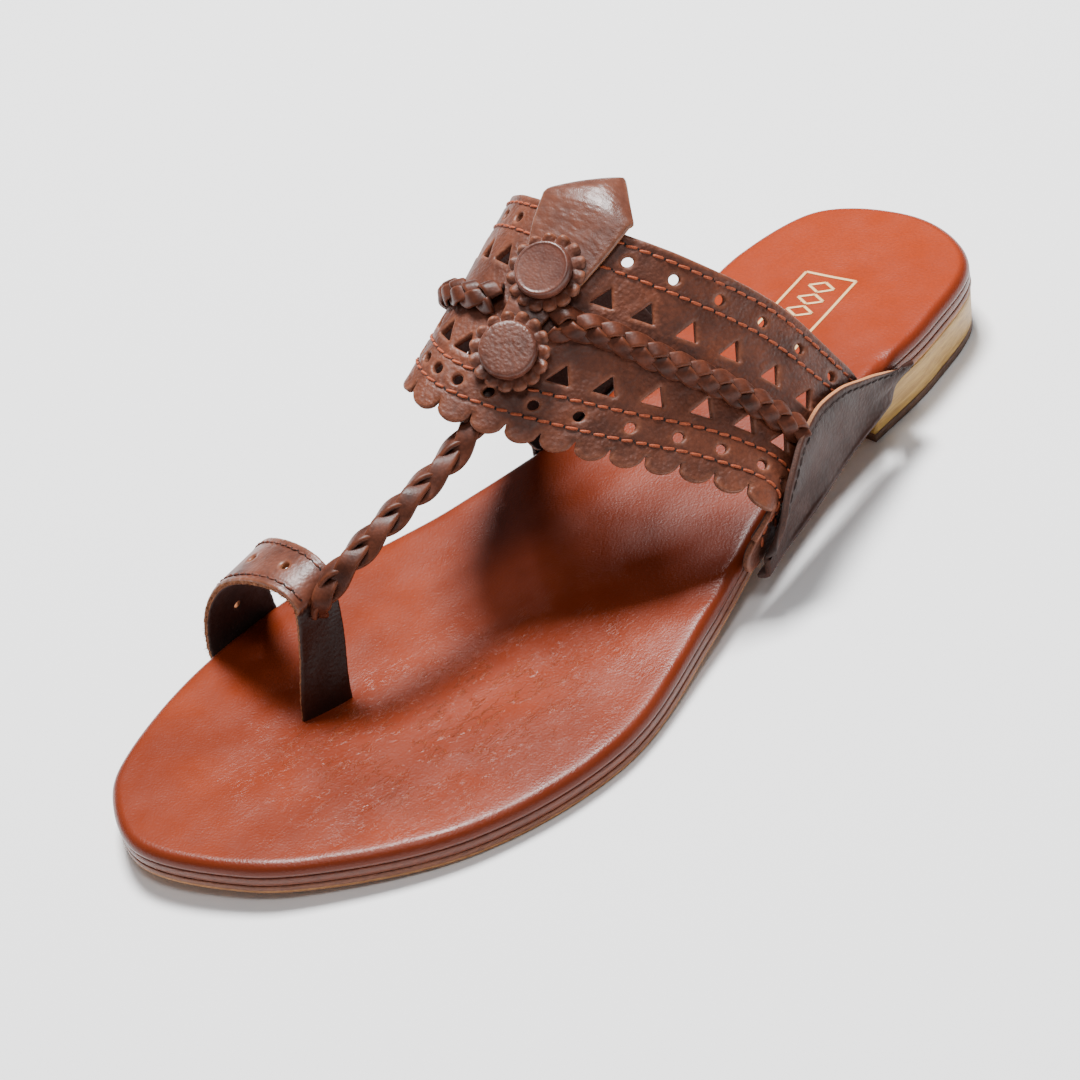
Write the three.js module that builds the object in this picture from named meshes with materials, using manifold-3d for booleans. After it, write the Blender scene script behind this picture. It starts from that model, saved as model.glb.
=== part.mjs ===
// Left kolhapuri sandal, in millimetres.
// +Y points to the toe, +X to the wearer's right (the inner side of a left foot) and +Z up.
// The origin lies on the floor, under the middle of the sandal's box.
import * as THREE from 'three';
import Module from 'manifold-3d';

const wasm = await Module();
wasm.setup();

// ---------- driving dimensions ----------
const soleLength = 250;
const centreShift = 8.3;            // moves the finished sandal so that its box is centred on X
const fitGap = 0.3;                 // clearance between neighbouring pieces
const leatherWall = 1.7;            // straps and vamp
const flapWall = 1.5;               // side flaps and centre tab

const outsoleThickness = 2.0;
const midsoleThickness = 1.7;
const insoleThickness = 3.2;
const toeSpring = 3.6;              // lift of the outsole under the toe tip
const toeSpringStart = 62;          // the forefoot rests on the floor from here ...
const forefootFlatEnd = 42;         // ... back to here
const seatLift = 11.5;              // underside of the outsole at the heel seat
const seatFront = -74;
const breastY = -67;                // front face of the heel
const topPieceThickness = 2.2;
const heelFootInset = 1.2;          // how far the heel stands inside the sole's edge at the floor ...
const heelHeadInset = 0.3;          // ... and right under the outsole
const insoleEdgeRadius = 1.5;
const insoleUnderRound = 0.6;
const outsoleEdgeRound = 0.6;
const midsoleInset = 0.5;           // the dark layer stands back a little

const tuckDepth = 5;                // strap ends held between insole and outsole

const scallopCount = 22;
const scallopDepth = 3.6;
const discRadius = 8.4;
const discThickness = 1.5;
const discScallops = 15;
const buttonRadius = 6.2;
const buttonHeight = 2.6;
const braidWidth = 6.6;
const braidThickness = 3.4;
const tStrapWidth = 7.0;
const tStrapThickness = 4.0;

// ---------- shape tables ----------
// The sole's edge at stations along the foot, as X on the inner and on the outer side.
const outlineRows = [
  { y: -116, inner: 23.5, outer: -22.2 },
  { y: -92, inner: 29.0, outer: -30.6 },
  { y: -61, inner: 23.6, outer: -34.0 },
  { y: -28, inner: 19.9, outer: -39.8 },
  { y: 8, inner: 27.9, outer: -50.4 },
  { y: 45, inner: 39.0, outer: -59.1 },
  { y: 80, inner: 38.0, outer: -51.6 },
  { y: 107, inner: 28.2, outer: -32.4 },
  { y: 117, inner: 20.3, outer: -20.3 },
];
const heelTipX = -0.7;
const toeTipX = 2.0;

// The vamp over the instep, from the outer edge of the sole to the inner one: its front and rear edges.
const vampRows = [
  { front: [-47.5, -6.5, 9.0], rear: [-35.0, -66.0, 15.6] },
  { front: [-48.0, -8.5, 15.5], rear: [-36.0, -61.0, 22.0] },
  { front: [-50.0, -13.5, 24.0], rear: [-36.5, -55.0, 32.5] },
  { front: [-40.0, -5.0, 33.0], rear: [-31.5, -44.0, 52.5] },
  { front: [-24.5, 9.5, 42.5], rear: [-23.5, -30.0, 69.5] },
  { front: [-7.5, 21.0, 50.5], rear: [-11.0, -21.5, 78.0] },
  { front: [5.5, 25.5, 55.0], rear: [3.5, -20.0, 80.5] },
  { front: [15.5, 22.0, 55.0], rear: [17.5, -22.5, 77.5] },
  { front: [23.0, 12.5, 47.5], rear: [29.5, -29.5, 68.0] },
  { front: [27.5, -1.5, 34.0], rear: [33.5, -41.5, 52.0] },
  { front: [28.0, -11.0, 20.5], rear: [30.0, -54.0, 31.5] },
  { front: [23.0, -14.0, 9.8], rear: [24.6, -60.0, 15.6] },
];

// The toe ring, from its tuck at the inner edge, over the big toe and down the post into the insole.
const ringRows = [
  { front: [34.0, 74.0, 3.15], rear: [35.0, 54.0, 3.15] },
  { front: [38.6, 74.0, 3.2], rear: [39.6, 54.0, 3.2] },
  { front: [40.6, 73.9, 5.2], rear: [41.4, 54.0, 5.2] },
  { front: [40.5, 73.6, 10.0], rear: [41.5, 54.3, 10.6] },
  { front: [38.8, 73.0, 16.6], rear: [40.0, 55.0, 17.6] },
  { front: [34.8, 72.4, 23.4], rear: [36.2, 56.0, 25.0] },
  { front: [28.8, 72.0, 29.4], rear: [29.8, 57.0, 31.2] },
  { front: [21.4, 71.6, 33.4], rear: [21.6, 57.8, 34.8] },
  { front: [13.0, 71.0, 35.4], rear: [13.5, 58.6, 36.6] },
  { front: [7.2, 70.6, 34.6], rear: [7.6, 59.2, 36.0] },
  { front: [4.7, 70.8, 31.4], rear: [4.9, 59.6, 32.6] },
  { front: [4.1, 73.2, 22.0], rear: [3.0, 61.8, 22.0] },
  { front: [3.7, 76.6, 12.0], rear: [1.0, 65.2, 12.0] },
  { front: [3.6, 78.0, 4.8], rear: [0.7, 66.2, 4.8] },
];

// The plaited T-strap's middle line, from under the vamp down to the ring's outer rear corner.
const tStrapRows = [
  { x: -1.6, y: 9.0, z: 58.2 },
  { x: -2.0, y: 16.5, z: 53.4 },
  { x: -2.3, y: 22.5, z: 49.6 },
  { x: -2.2, y: 31.0, z: 46.4 },
  { x: -1.4, y: 43.0, z: 43.6 },
  { x: 0.0, y: 54.8, z: 39.6 },
  { x: 2.0, y: 62.0, z: 35.6 },
  { x: 3.5, y: 66.5, z: 31.2 },
];

// The side flaps: their top edges, and where along the sole's edge each station is held.
const outerFlapRows = [
  { top: [-36.6, -76.0, 17.5], soleY: -77.0 },
  { top: [-38.6, -66.0, 22.5], soleY: -70.0 },
  { top: [-40.2, -56.0, 27.4], soleY: -60.0 },
  { top: [-42.4, -46.0, 31.0], soleY: -49.0 },
  { top: [-45.2, -35.0, 31.8], soleY: -37.0 },
  { top: [-49.2, -25.0, 29.0], soleY: -26.0 },
  { top: [-51.6, -18.5, 21.5], soleY: -17.0 },
  { top: [-50.8, -14.0, 12.0], soleY: -10.5 },
];
const innerFlapRows = [
  { top: [29.0, -78.0, 17.5], soleY: -78.0 },
  { top: [30.4, -67.0, 21.5], soleY: -69.0 },
  { top: [31.8, -57.0, 25.5], soleY: -58.5 },
  { top: [32.6, -46.0, 28.5], soleY: -47.0 },
  { top: [32.6, -35.0, 30.0], soleY: -36.0 },
  { top: [31.8, -25.0, 28.5], soleY: -26.0 },
  { top: [31.0, -18.5, 21.5], soleY: -19.0 },
  { top: [28.6, -15.0, 12.5], soleY: -14.0 },
];

// The centre tab on the vamp: place across (share), place along (share) and half width (share).
const tabRows = [
  { along: 0.26, across: 0.486, half: 0.022 },
  { along: 0.50, across: 0.490, half: 0.026 },
  { along: 0.72, across: 0.490, half: 0.040 },
  { along: 0.88, across: 0.498, half: 0.056 },
  { along: 1.02, across: 0.503, half: 0.066 },
];
const tabOverhang = 12.8;           // of its blunt point, past the vamp's rear edge
const tabCornerBack = 11.6;         // how much less its corners reach than its point
const tabShareOnVamp = 0.72;
const tabPointShape = 1.12;         // 1 would be straight sides to the point

// Both medallions on the vamp, and the two plaits that leave from under them.
const medallionSpots = [
  { name: 'front', across: 0.478, along: 0.355 },
  { name: 'rear', across: 0.492, along: 0.715 },
];
const outerBraidSpots = [
  { across: 0.430, along: 0.55 },
  { across: 0.398, along: 0.56 },
  { across: 0.335, along: 0.51 },
  { across: 0.278, along: 0.48 },
  { across: 0.222, along: 0.47 },
];
const innerBraidSpots = [
  { across: 0.545, along: 0.53 },
  { across: 0.600, along: 0.48 },
  { across: 0.680, along: 0.45 },
  { across: 0.745, along: 0.45 },
  { across: 0.800, along: 0.46 },
];

// ---------- sole heights ----------
const smoothStep = (share) => {
  const s = Math.min(Math.max(share, 0), 1);
  return s * s * (3 - 2 * s);
};

function soleBottom(y) {
  const seat = seatLift * smoothStep((forefootFlatEnd - y) / (forefootFlatEnd - seatFront));
  const toe = Math.max(y - toeSpringStart, 0) / (soleLength / 2 - toeSpringStart);
  return seat + toeSpring * toe * toe;
}

const midsoleBase = outsoleThickness + fitGap;
const insoleBase = midsoleBase + midsoleThickness + fitGap;
const insoleTop = insoleBase + insoleThickness;

// ---------- curves ----------
const point = (p) => new THREE.Vector3(...p);
const curveThrough = (points) => new THREE.CatmullRomCurve3(points, false, 'catmullrom', 0.5);

const innerPoints = outlineRows.map((row) => new THREE.Vector3(row.inner, row.y, 0));
const outerPoints = outlineRows.map((row) => new THREE.Vector3(row.outer, row.y, 0));
const outlineCurve = new THREE.CatmullRomCurve3([
  new THREE.Vector3(heelTipX, -soleLength / 2, 0),
  ...innerPoints,
  new THREE.Vector3(toeTipX, soleLength / 2, 0),
  ...outerPoints.reverse(),
], true, 'centripetal');

// A point of the sole's outline, moved inwards by inset (or outwards where it is negative).
function outlinePoint(share, inset) {
  const wrapped = (share + 1) % 1;
  const p = outlineCurve.getPoint(wrapped);
  const t = outlineCurve.getTangent(wrapped);
  return new THREE.Vector3(p.x - t.y * inset, p.y + t.x * inset, 0);
}

// The outline's share at which the chosen side passes a given Y.
function shareAtY(side, y) {
  let low = side === 'inner' ? 0.001 : 0.999;
  let high = 0.5;
  for (let step = 0; step < 40; step += 1) {
    const middle = (low + high) / 2;
    if (outlineCurve.getPoint(middle).y < y) low = middle;
    else high = middle;
  }
  return (low + high) / 2;
}

// ---------- solid builders ----------
// A BufferGeometry of shared vertices with its faces turned outwards.
function closedGeometry(vertices, triangles) {
  let volume = 0;
  for (const [a, b, c] of triangles) {
    volume += vertices[a].clone().cross(vertices[b]).dot(vertices[c]);
  }
  const turned = volume < 0 ? triangles.map(([a, b, c]) => [a, c, b]) : triangles;
  const geometry = new THREE.BufferGeometry();
  const numbers = vertices.flatMap((vertex) => vertex.toArray());
  geometry.setAttribute('position', new THREE.Float32BufferAttribute(numbers, 3));
  geometry.setIndex(turned.flat());
  return geometry;
}

function toManifold(geometry) {
  return new wasm.Manifold(new wasm.Mesh({
    numProp: 3,
    vertProperties: new Float32Array(geometry.getAttribute('position').array),
    triVerts: new Uint32Array(geometry.getIndex().array),
  }));
}

function fromManifold(manifold) {
  const mesh = manifold.getMesh();
  const geometry = new THREE.BufferGeometry();
  geometry.setAttribute('position', new THREE.Float32BufferAttribute(mesh.vertProperties, 3));
  geometry.setIndex(Array.from(mesh.triVerts));
  return geometry;
}

// Shares the vertices of a three.js solid that meet in one place.
function welded(geometry) {
  const source = geometry.index ? geometry.toNonIndexed() : geometry;
  const position = source.getAttribute('position');
  const corners = [];
  const indices = [];
  const seen = new Map();
  for (let i = 0; i < position.count; i += 1) {
    const corner = new THREE.Vector3().fromBufferAttribute(position, i);
    const key = corner.toArray().map((value) => value.toFixed(4)).join(' ');
    if (!seen.has(key)) {
      seen.set(key, corners.length);
      corners.push(corner);
    }
    indices.push(seen.get(key));
  }
  const triangles = [];
  for (let i = 0; i < indices.length; i += 3) triangles.push(indices.slice(i, i + 3));
  return closedGeometry(corners, triangles);
}

// A sole layer: rings of the outline one above the other, closed by strips across the foot.
const sideSteps = 38;
function soleLayer(levels) {
  const ringSize = 2 * sideSteps;
  const vertices = [];
  for (const level of levels) {
    for (let i = 0; i < ringSize; i += 1) {
      const p = outlinePoint(i / ringSize, level.inset);
      vertices.push(new THREE.Vector3(p.x, p.y, level.height(p.y)));
    }
  }
  const triangles = [];
  for (let ring = 0; ring < levels.length - 1; ring += 1) {
    for (let i = 0; i < ringSize; i += 1) {
      const next = (i + 1) % ringSize;
      const a = ring * ringSize + i;
      const b = ring * ringSize + next;
      triangles.push([a, b, b + ringSize], [a, b + ringSize, a + ringSize]);
    }
  }
  const cap = (start, flip) => {
    const add = (a, b, c) => triangles.push(flip ? [a, c, b] : [a, b, c]);
    const inner = (i) => start + i;
    const outer = (i) => start + ((ringSize - i) % ringSize);
    for (let i = 0; i < sideSteps; i += 1) {
      if (i > 0) add(inner(i), inner(i + 1), outer(i));
      if (i < sideSteps - 1) add(inner(i + 1), outer(i + 1), outer(i));
    }
  };
  cap(0, true);
  cap((levels.length - 1) * ringSize, false);
  return closedGeometry(vertices, triangles);
}

// A leather sheet of even wall. surface(i, j) gives its middle at column i and row j.
function leatherSheet(columns, rows, wall, surface) {
  const middle = [];
  for (let i = 0; i <= columns; i += 1) {
    middle.push([]);
    for (let j = 0; j <= rows; j += 1) middle[i].push(surface(i, j));
  }
  const normal = (i, j) => {
    const along = middle[Math.min(i + 1, columns)][j].clone().sub(middle[Math.max(i - 1, 0)][j]);
    const across = middle[i][Math.min(j + 1, rows)].clone().sub(middle[i][Math.max(j - 1, 0)]);
    return along.cross(across).normalize();
  };
  const vertices = [];
  for (const side of [-0.5, 0.5]) {
    for (let i = 0; i <= columns; i += 1) {
      for (let j = 0; j <= rows; j += 1) {
        vertices.push(middle[i][j].clone().addScaledVector(normal(i, j), side * wall));
      }
    }
  }
  const layer = (columns + 1) * (rows + 1);
  const at = (i, j) => i * (rows + 1) + j;
  const triangles = [];
  for (let i = 0; i < columns; i += 1) {
    for (let j = 0; j < rows; j += 1) {
      const [a, b, c, d] = [at(i, j), at(i + 1, j), at(i + 1, j + 1), at(i, j + 1)];
      triangles.push([a, c, b], [a, d, c]);
      triangles.push([a + layer, b + layer, c + layer], [a + layer, c + layer, d + layer]);
    }
  }
  const rim = [];
  for (let i = 0; i < columns; i += 1) rim.push(at(i, 0));
  for (let j = 0; j < rows; j += 1) rim.push(at(columns, j));
  for (let i = columns; i > 0; i -= 1) rim.push(at(i, rows));
  for (let j = rows; j > 0; j -= 1) rim.push(at(0, j));
  rim.forEach((a, k) => {
    const b = rim[(k + 1) % rim.length];
    triangles.push([a, b, b + layer], [a, b + layer, a + layer]);
  });
  return closedGeometry(vertices, triangles);
}

// ---------- sole ----------
const cutterReach = 80;
const cutterHeight = 120;
const featherEdge = 0.4;
const above = (offset) => (y) => soleBottom(y) + offset;

function outsoleGeometry() {
  return soleLayer([
    { inset: outsoleEdgeRound, height: above(0) },
    { inset: 0, height: above(outsoleEdgeRound) },
    { inset: 0, height: above(outsoleThickness) },
  ]);
}

// A box between two stations of Y, wide and tall enough to cut through the whole sole.
function stationBox(fromX, toX, fromY, toY) {
  const box = new THREE.BoxGeometry(toX - fromX, toY - fromY, cutterHeight);
  box.translate((fromX + toX) / 2, (fromY + toY) / 2, 0);
  return toManifold(welded(box));
}

// The midsole is left out where a strap or flap is held between insole and outsole.
function notch(side, fromY, toY) {
  const box = stationBox(side === 'inner' ? 0 : -cutterReach, side === 'inner' ? cutterReach : 0, fromY, toY);
  const core = soleLayer([
    { inset: tuckDepth + 1, height: () => -cutterHeight / 2 },
    { inset: tuckDepth + 1, height: () => cutterHeight / 2 },
  ]);
  return box.subtract(toManifold(core));
}

function midsoleGeometry() {
  const layer = soleLayer([
    { inset: midsoleInset, height: above(midsoleBase) },
    { inset: midsoleInset, height: above(midsoleBase + midsoleThickness) },
  ]);
  const endOf = (rows, index) => rows.at(index).soleY;
  const cut = toManifold(layer)
    .subtract(notch('outer', endOf(outerFlapRows, 0) - 2, endOf(outerFlapRows, -1) + 2))
    .subtract(notch('inner', endOf(innerFlapRows, 0) - 2, endOf(innerFlapRows, -1) + 2))
    .subtract(notch('inner', ringRows[0].rear[1] - 1, ringRows[0].front[1] + 1));
  return fromManifold(cut);
}

function insoleGeometry() {
  const roundedEdge = [0, Math.PI / 4, Math.PI / 2].map((angle) => ({
    inset: insoleEdgeRadius * (1 - Math.cos(angle)),
    height: above(insoleTop - insoleEdgeRadius * (1 - Math.sin(angle))),
  }));
  const layer = soleLayer([
    { inset: insoleUnderRound, height: above(insoleBase) },
    { inset: 0, height: above(insoleBase + insoleUnderRound) },
    ...roundedEdge,
  ]);
  return fromManifold(toManifold(layer).subtract(toManifold(postSlot())));
}

const heelBlockBase = () => topPieceThickness + fitGap;
const heelInset = (z) => heelFootInset + (heelHeadInset - heelFootInset) * z / seatLift;

// A slice of the heel behind its front face. The top never comes closer to the bottom than the feather edge.
function heelLayer(bottom, top, bottomInset, topInset) {
  const layer = toManifold(soleLayer([
    { inset: bottomInset, height: bottom },
    { inset: topInset, height: (y) => Math.max(top(y), bottom(y) + featherEdge) },
  ]));
  return fromManifold(layer.intersect(stationBox(-cutterReach, cutterReach, -soleLength, breastY)));
}

// ---------- upper ----------
const vampFront = curveThrough(vampRows.map((row) => point(row.front)));
const vampRear = curveThrough(vampRows.map((row) => point(row.rear)));

function vampPoint(across, along) {
  return vampFront.getPoint(across).lerp(vampRear.getPoint(across), along);
}

// A frame on the vamp: its middle, the outward normal, and the way across and along.
function vampFrame(across, along) {
  const step = 0.004;
  const sideways = vampPoint(across + step, along).sub(vampPoint(across - step, along)).normalize();
  const rearwards = vampRear.getPoint(across).sub(vampFront.getPoint(across)).normalize();
  const normal = rearwards.clone().cross(sideways).normalize();
  return { origin: vampPoint(across, along), sideways, rearwards, normal };
}

function onVamp(across, along, height) {
  const frame = vampFrame(across, along);
  return frame.origin.addScaledVector(frame.normal, leatherWall / 2 + height);
}

const stepsPerScallop = 5;
const vampAlongSteps = [0, 0.12, 0.34, 0.56, 0.78, 1];
function vampSheet() {
  const columns = scallopCount * stepsPerScallop;
  return leatherSheet(columns, vampAlongSteps.length - 1, leatherWall, (i, j) => {
    const across = vampFront.getUtoTmapping(i / columns);
    const width = vampFront.getPoint(across).distanceTo(vampRear.getPoint(across));
    const lobe = Math.sqrt(Math.abs(Math.sin(Math.PI * i / stepsPerScallop)));
    const recess = j === 0 ? scallopDepth * (1 - lobe) / width : 0;
    return vampPoint(across, vampAlongSteps[j] + recess);
  });
}

// The room that the vamp and its clearance take up, for cutting the flaps.
function vampRoom() {
  const columns = 60;
  const rows = 5;
  const margin = 0.02;
  return leatherSheet(columns, rows, leatherWall + 2 * fitGap, (i, j) => {
    const spot = vampPoint(i / columns, -margin + (1 + 2 * margin) * j / rows);
    if (i === 0 || i === columns) spot.z -= fitGap;
    return spot;
  });
}

const ringFront = curveThrough(ringRows.map((row) => point(row.front)));
const ringRear = curveThrough(ringRows.map((row) => point(row.rear)));
function ringSheet() {
  const columns = 64;
  const rows = 3;
  return leatherSheet(columns, rows, leatherWall, (i, j) => {
    const share = i / columns;
    return ringFront.getPoint(share).lerp(ringRear.getPoint(share), j / rows);
  });
}

// The opening in the insole that the toe post goes through.
function postSlot() {
  const last = ringRows.at(-1);
  const clearance = 3 * fitGap;
  const width = leatherWall / 2 + clearance;
  const shape = new THREE.Shape();
  shape.moveTo(last.rear[0] - width, last.rear[1] - clearance);
  shape.lineTo(last.rear[0] + width, last.rear[1] - clearance);
  shape.lineTo(last.front[0] + width, last.front[1] + clearance);
  shape.lineTo(last.front[0] - width, last.front[1] + clearance);
  const slot = new THREE.ExtrudeGeometry(shape, { depth: cutterHeight, bevelEnabled: false });
  return welded(slot);
}

// Half of a plait's section, in shares of its width and thickness. The other half is the same turned over.
const barCorners = [
  { across: -0.5, height: -0.2 },
  { across: -0.32, height: -0.5 },
  { across: 0.32, height: -0.5 },
  { across: 0.5, height: -0.2 },
];

// A plaited strap as one flat bar with rounded edges along a middle line.
function plaitedBar(path, sideAt, width, thickness, steps) {
  const otherHalf = barCorners.map(({ across, height }) => ({ across: -across, height: -height }));
  const corners = [...barCorners, ...otherHalf];
  const vertices = [];
  for (let i = 0; i <= steps; i += 1) {
    const share = i / steps;
    const tangent = path.getTangent(share);
    const side = sideAt(share).clone().addScaledVector(tangent, -sideAt(share).dot(tangent)).normalize();
    const up = side.clone().cross(tangent).normalize();
    for (const { across, height } of corners) {
      vertices.push(path.getPoint(share)
        .addScaledVector(side, across * width)
        .addScaledVector(up, height * thickness));
    }
  }
  const size = corners.length;
  const triangles = [];
  for (let i = 0; i < steps; i += 1) {
    for (let k = 0; k < size; k += 1) {
      const a = i * size + k;
      const b = i * size + ((k + 1) % size);
      triangles.push([a, b, b + size], [a, b + size, a + size]);
    }
  }
  for (let k = 1; k < size - 1; k += 1) {
    triangles.push([0, k + 1, k]);
    triangles.push([steps * size, steps * size + k, steps * size + k + 1]);
  }
  return closedGeometry(vertices, triangles);
}

const tStrapSteps = 28;
const tStrapPath = curveThrough(tStrapRows.map((row) => new THREE.Vector3(row.x, row.y, row.z)));

function upperGeometry() {
  const sideways = new THREE.Vector3(1, 0, 0);
  const tStrap = plaitedBar(tStrapPath, () => sideways, tStrapWidth, tStrapThickness, tStrapSteps);
  const joined = toManifold(vampSheet())
    .add(toManifold(ringSheet()))
    .add(toManifold(tStrap));
  return fromManifold(joined);
}

// ---------- side flaps ----------
// Each station runs from under the insole, out past the sole's edge, up around a soft belly to the top edge.
const flapEdgeReach = 1.4;
const flapBellyReach = 4.6;
const flapBellyLift = 6.4;
const flapShoulderShare = 0.55;     // the flap runs straight from here on, between belly and top edge
function flapGeometry(side, rows) {
  const topCurve = curveThrough(rows.map((row) => point(row.top)));
  const soleCurve = curveThrough(rows.map((row) => new THREE.Vector3(row.soleY, 0, 0)));
  const columns = 22;
  const steps = 8;
  const clearance = toManifold(vampRoom());
  const tuckLevel = outsoleThickness + fitGap + flapWall / 2;
  const sheet = leatherSheet(columns, steps, flapWall, (i, j) => {
    const share = i / columns;
    const soleY = soleCurve.getPoint(share).x;
    const edgeShare = shareAtY(side, soleY);
    const at = (inset, lift) => {
      const p = outlinePoint(edgeShare, inset);
      return new THREE.Vector3(p.x, p.y, soleBottom(soleY) + lift);
    };
    const top = topCurve.getPoint(share);
    const belly = at(-flapBellyReach, flapBellyLift);
    const section = curveThrough([
      at(tuckDepth, tuckLevel),
      at(-flapEdgeReach, tuckLevel),
      belly,
      belly.clone().lerp(top, flapShoulderShare),
      top,
    ]);
    return section.getPoint(j / steps);
  });
  return fromManifold(toManifold(sheet).subtract(clearance));
}

// ---------- pieces on the vamp ----------
const tabAcross = curveThrough(tabRows.map((row) => new THREE.Vector3(row.across, row.along, row.half)));
function tabGeometry() {
  const columns = 8;
  const rows = 20;
  const lift = fitGap + flapWall / 2;
  return leatherSheet(columns, rows, flapWall, (i, j) => {
    const share = j / rows;
    const place = tabAcross.getPoint(Math.min(share / tabShareOnVamp, 1));
    const offset = 2 * i / columns - 1;
    const across = place.x + offset * place.z;
    const spot = onVamp(across, place.y, lift);
    const past = Math.max(share - tabShareOnVamp, 0) / (1 - tabShareOnVamp);
    const reach = tabOverhang - tabCornerBack * Math.abs(offset) ** tabPointShape;
    const frame = vampFrame(across, 1);
    const level = new THREE.Vector3(frame.rearwards.x, frame.rearwards.y, 0).normalize();
    const way = frame.rearwards.clone().lerp(level, past).normalize();
    return spot.addScaledVector(way, past * reach);
  });
}

// Turns a solid made around the origin so that it lies on the vamp at a given height.
function seatOnVamp(geometry, spot, height) {
  const frame = vampFrame(spot.across, spot.along);
  const across = frame.sideways;
  const along = frame.normal.clone().cross(across).normalize();
  const basis = new THREE.Matrix4().makeBasis(across, along, frame.normal);
  basis.setPosition(frame.origin.addScaledVector(frame.normal, leatherWall / 2 + height));
  return geometry.applyMatrix4(basis);
}

const discBedAllowance = 0.25;      // the discs are flat and the vamp under them is curved
const discHeight = flapWall + 2 * fitGap + discBedAllowance;
const discLobe = 0.6;
const stepsPerDiscLobe = 4;
function discGeometry(spot) {
  const shape = new THREE.Shape();
  const count = discScallops * stepsPerDiscLobe;
  for (let i = 0; i < count; i += 1) {
    const angle = 2 * Math.PI * i / count;
    const lobe = Math.abs(Math.sin(angle * discScallops / 2));
    const radius = discRadius + discLobe * (lobe - 0.5);
    const corner = [radius * Math.cos(angle), radius * Math.sin(angle)];
    if (i === 0) shape.moveTo(...corner);
    else shape.lineTo(...corner);
  }
  const disc = new THREE.ExtrudeGeometry(shape, { depth: discThickness, bevelEnabled: false });
  return seatOnVamp(welded(disc), spot, discHeight);
}

// A button's profile, in shares of its radius and height.
const buttonProfile = [
  { out: 0, up: 0 },
  { out: 0.93, up: 0 },
  { out: 1, up: 0.14 },
  { out: 1, up: 0.56 },
  { out: 0.93, up: 0.76 },
  { out: 0.72, up: 0.9 },
  { out: 0.4, up: 0.98 },
  { out: 0, up: 1 },
];
const buttonSides = 26;
function buttonGeometry(spot) {
  const points = buttonProfile.map(({ out, up }) => new THREE.Vector2(out * buttonRadius, up * buttonHeight));
  const button = new THREE.LatheGeometry(points, buttonSides);
  button.rotateX(Math.PI / 2);
  return seatOnVamp(welded(dropSlivers(button)), spot, discHeight + discThickness + fitGap);
}

const leastArea = 1e-6;
// Leaves out the triangles without area that a lathe makes where its profile meets the axis.
function dropSlivers(geometry) {
  const source = geometry.toNonIndexed();
  const position = source.getAttribute('position');
  const kept = [];
  for (let i = 0; i < position.count; i += 3) {
    const [a, b, c] = [0, 1, 2].map((k) => new THREE.Vector3().fromBufferAttribute(position, i + k));
    const area = b.clone().sub(a).cross(c.clone().sub(a)).length() / 2;
    if (area > leastArea) kept.push(...a.toArray(), ...b.toArray(), ...c.toArray());
  }
  const result = new THREE.BufferGeometry();
  result.setAttribute('position', new THREE.Float32BufferAttribute(kept, 3));
  return result;
}

const braidLift = 2 * fitGap + braidThickness / 2;
const braidSteps = 22;
function vampBraidGeometry(spots) {
  const path = curveThrough(spots.map((spot) => onVamp(spot.across, spot.along, braidLift)));
  const first = spots[0];
  const last = spots.at(-1);
  const sideAt = (share) => {
    const across = first.across + (last.across - first.across) * share;
    return vampFrame(across, 0.5).rearwards;
  };
  return plaitedBar(path, sideAt, braidWidth, braidThickness, braidSteps);
}

// ---------- assembly ----------
const brown = 0x6b4134;
const pieces = [
  { name: 'outsole', color: 0xb98e62, roughness: 0.8, make: outsoleGeometry },
  { name: 'midsole', color: 0x6f4334, roughness: 0.7, make: midsoleGeometry },
  { name: 'insole', color: 0xb85a34, roughness: 0.38, make: insoleGeometry },
  {
    name: 'heel_block',
    color: 0xc3a35f,
    roughness: 0.55,
    make: () => heelLayer(heelBlockBase, above(-fitGap), heelInset(heelBlockBase()), heelHeadInset),
  },
  {
    name: 'heel_top_piece',
    color: 0x4a3428,
    roughness: 0.85,
    make: () => heelLayer(() => 0, () => topPieceThickness, heelFootInset, heelInset(topPieceThickness)),
  },
  { name: 'upper', color: brown, roughness: 0.5, make: upperGeometry },
  { name: 'outer_flap', color: brown, roughness: 0.5, make: () => flapGeometry('outer', outerFlapRows) },
  { name: 'inner_flap', color: brown, roughness: 0.5, make: () => flapGeometry('inner', innerFlapRows) },
  { name: 'centre_tab', color: 0x7a4a3a, roughness: 0.5, make: tabGeometry },
  { name: 'outer_braid', color: brown, roughness: 0.5, make: () => vampBraidGeometry(outerBraidSpots) },
  { name: 'inner_braid', color: brown, roughness: 0.5, make: () => vampBraidGeometry(innerBraidSpots) },
];
for (const spot of medallionSpots) {
  pieces.push(
    { name: `${spot.name}_disc`, color: brown, roughness: 0.55, make: () => discGeometry(spot) },
    { name: `${spot.name}_button`, color: 0x744536, roughness: 0.5, make: () => buttonGeometry(spot) },
  );
}

const sandal = new THREE.Group();
sandal.position.x = centreShift;
for (const { name, color, roughness, make } of pieces) {
  const geometry = make();
  geometry.computeVertexNormals();
  const mesh = new THREE.Mesh(geometry, new THREE.MeshStandardMaterial({ color, roughness, metalness: 0 }));
  mesh.name = name;
  sandal.add(mesh);
}

export default sandal;
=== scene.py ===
# The looks of the left kolhapuri sandal. Lengths are in millimetres until a mesh is made.
import math

import bpy
import numpy as np
from mathutils import Matrix, Vector
from mathutils.geometry import delaunay_2d_cdt


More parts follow.
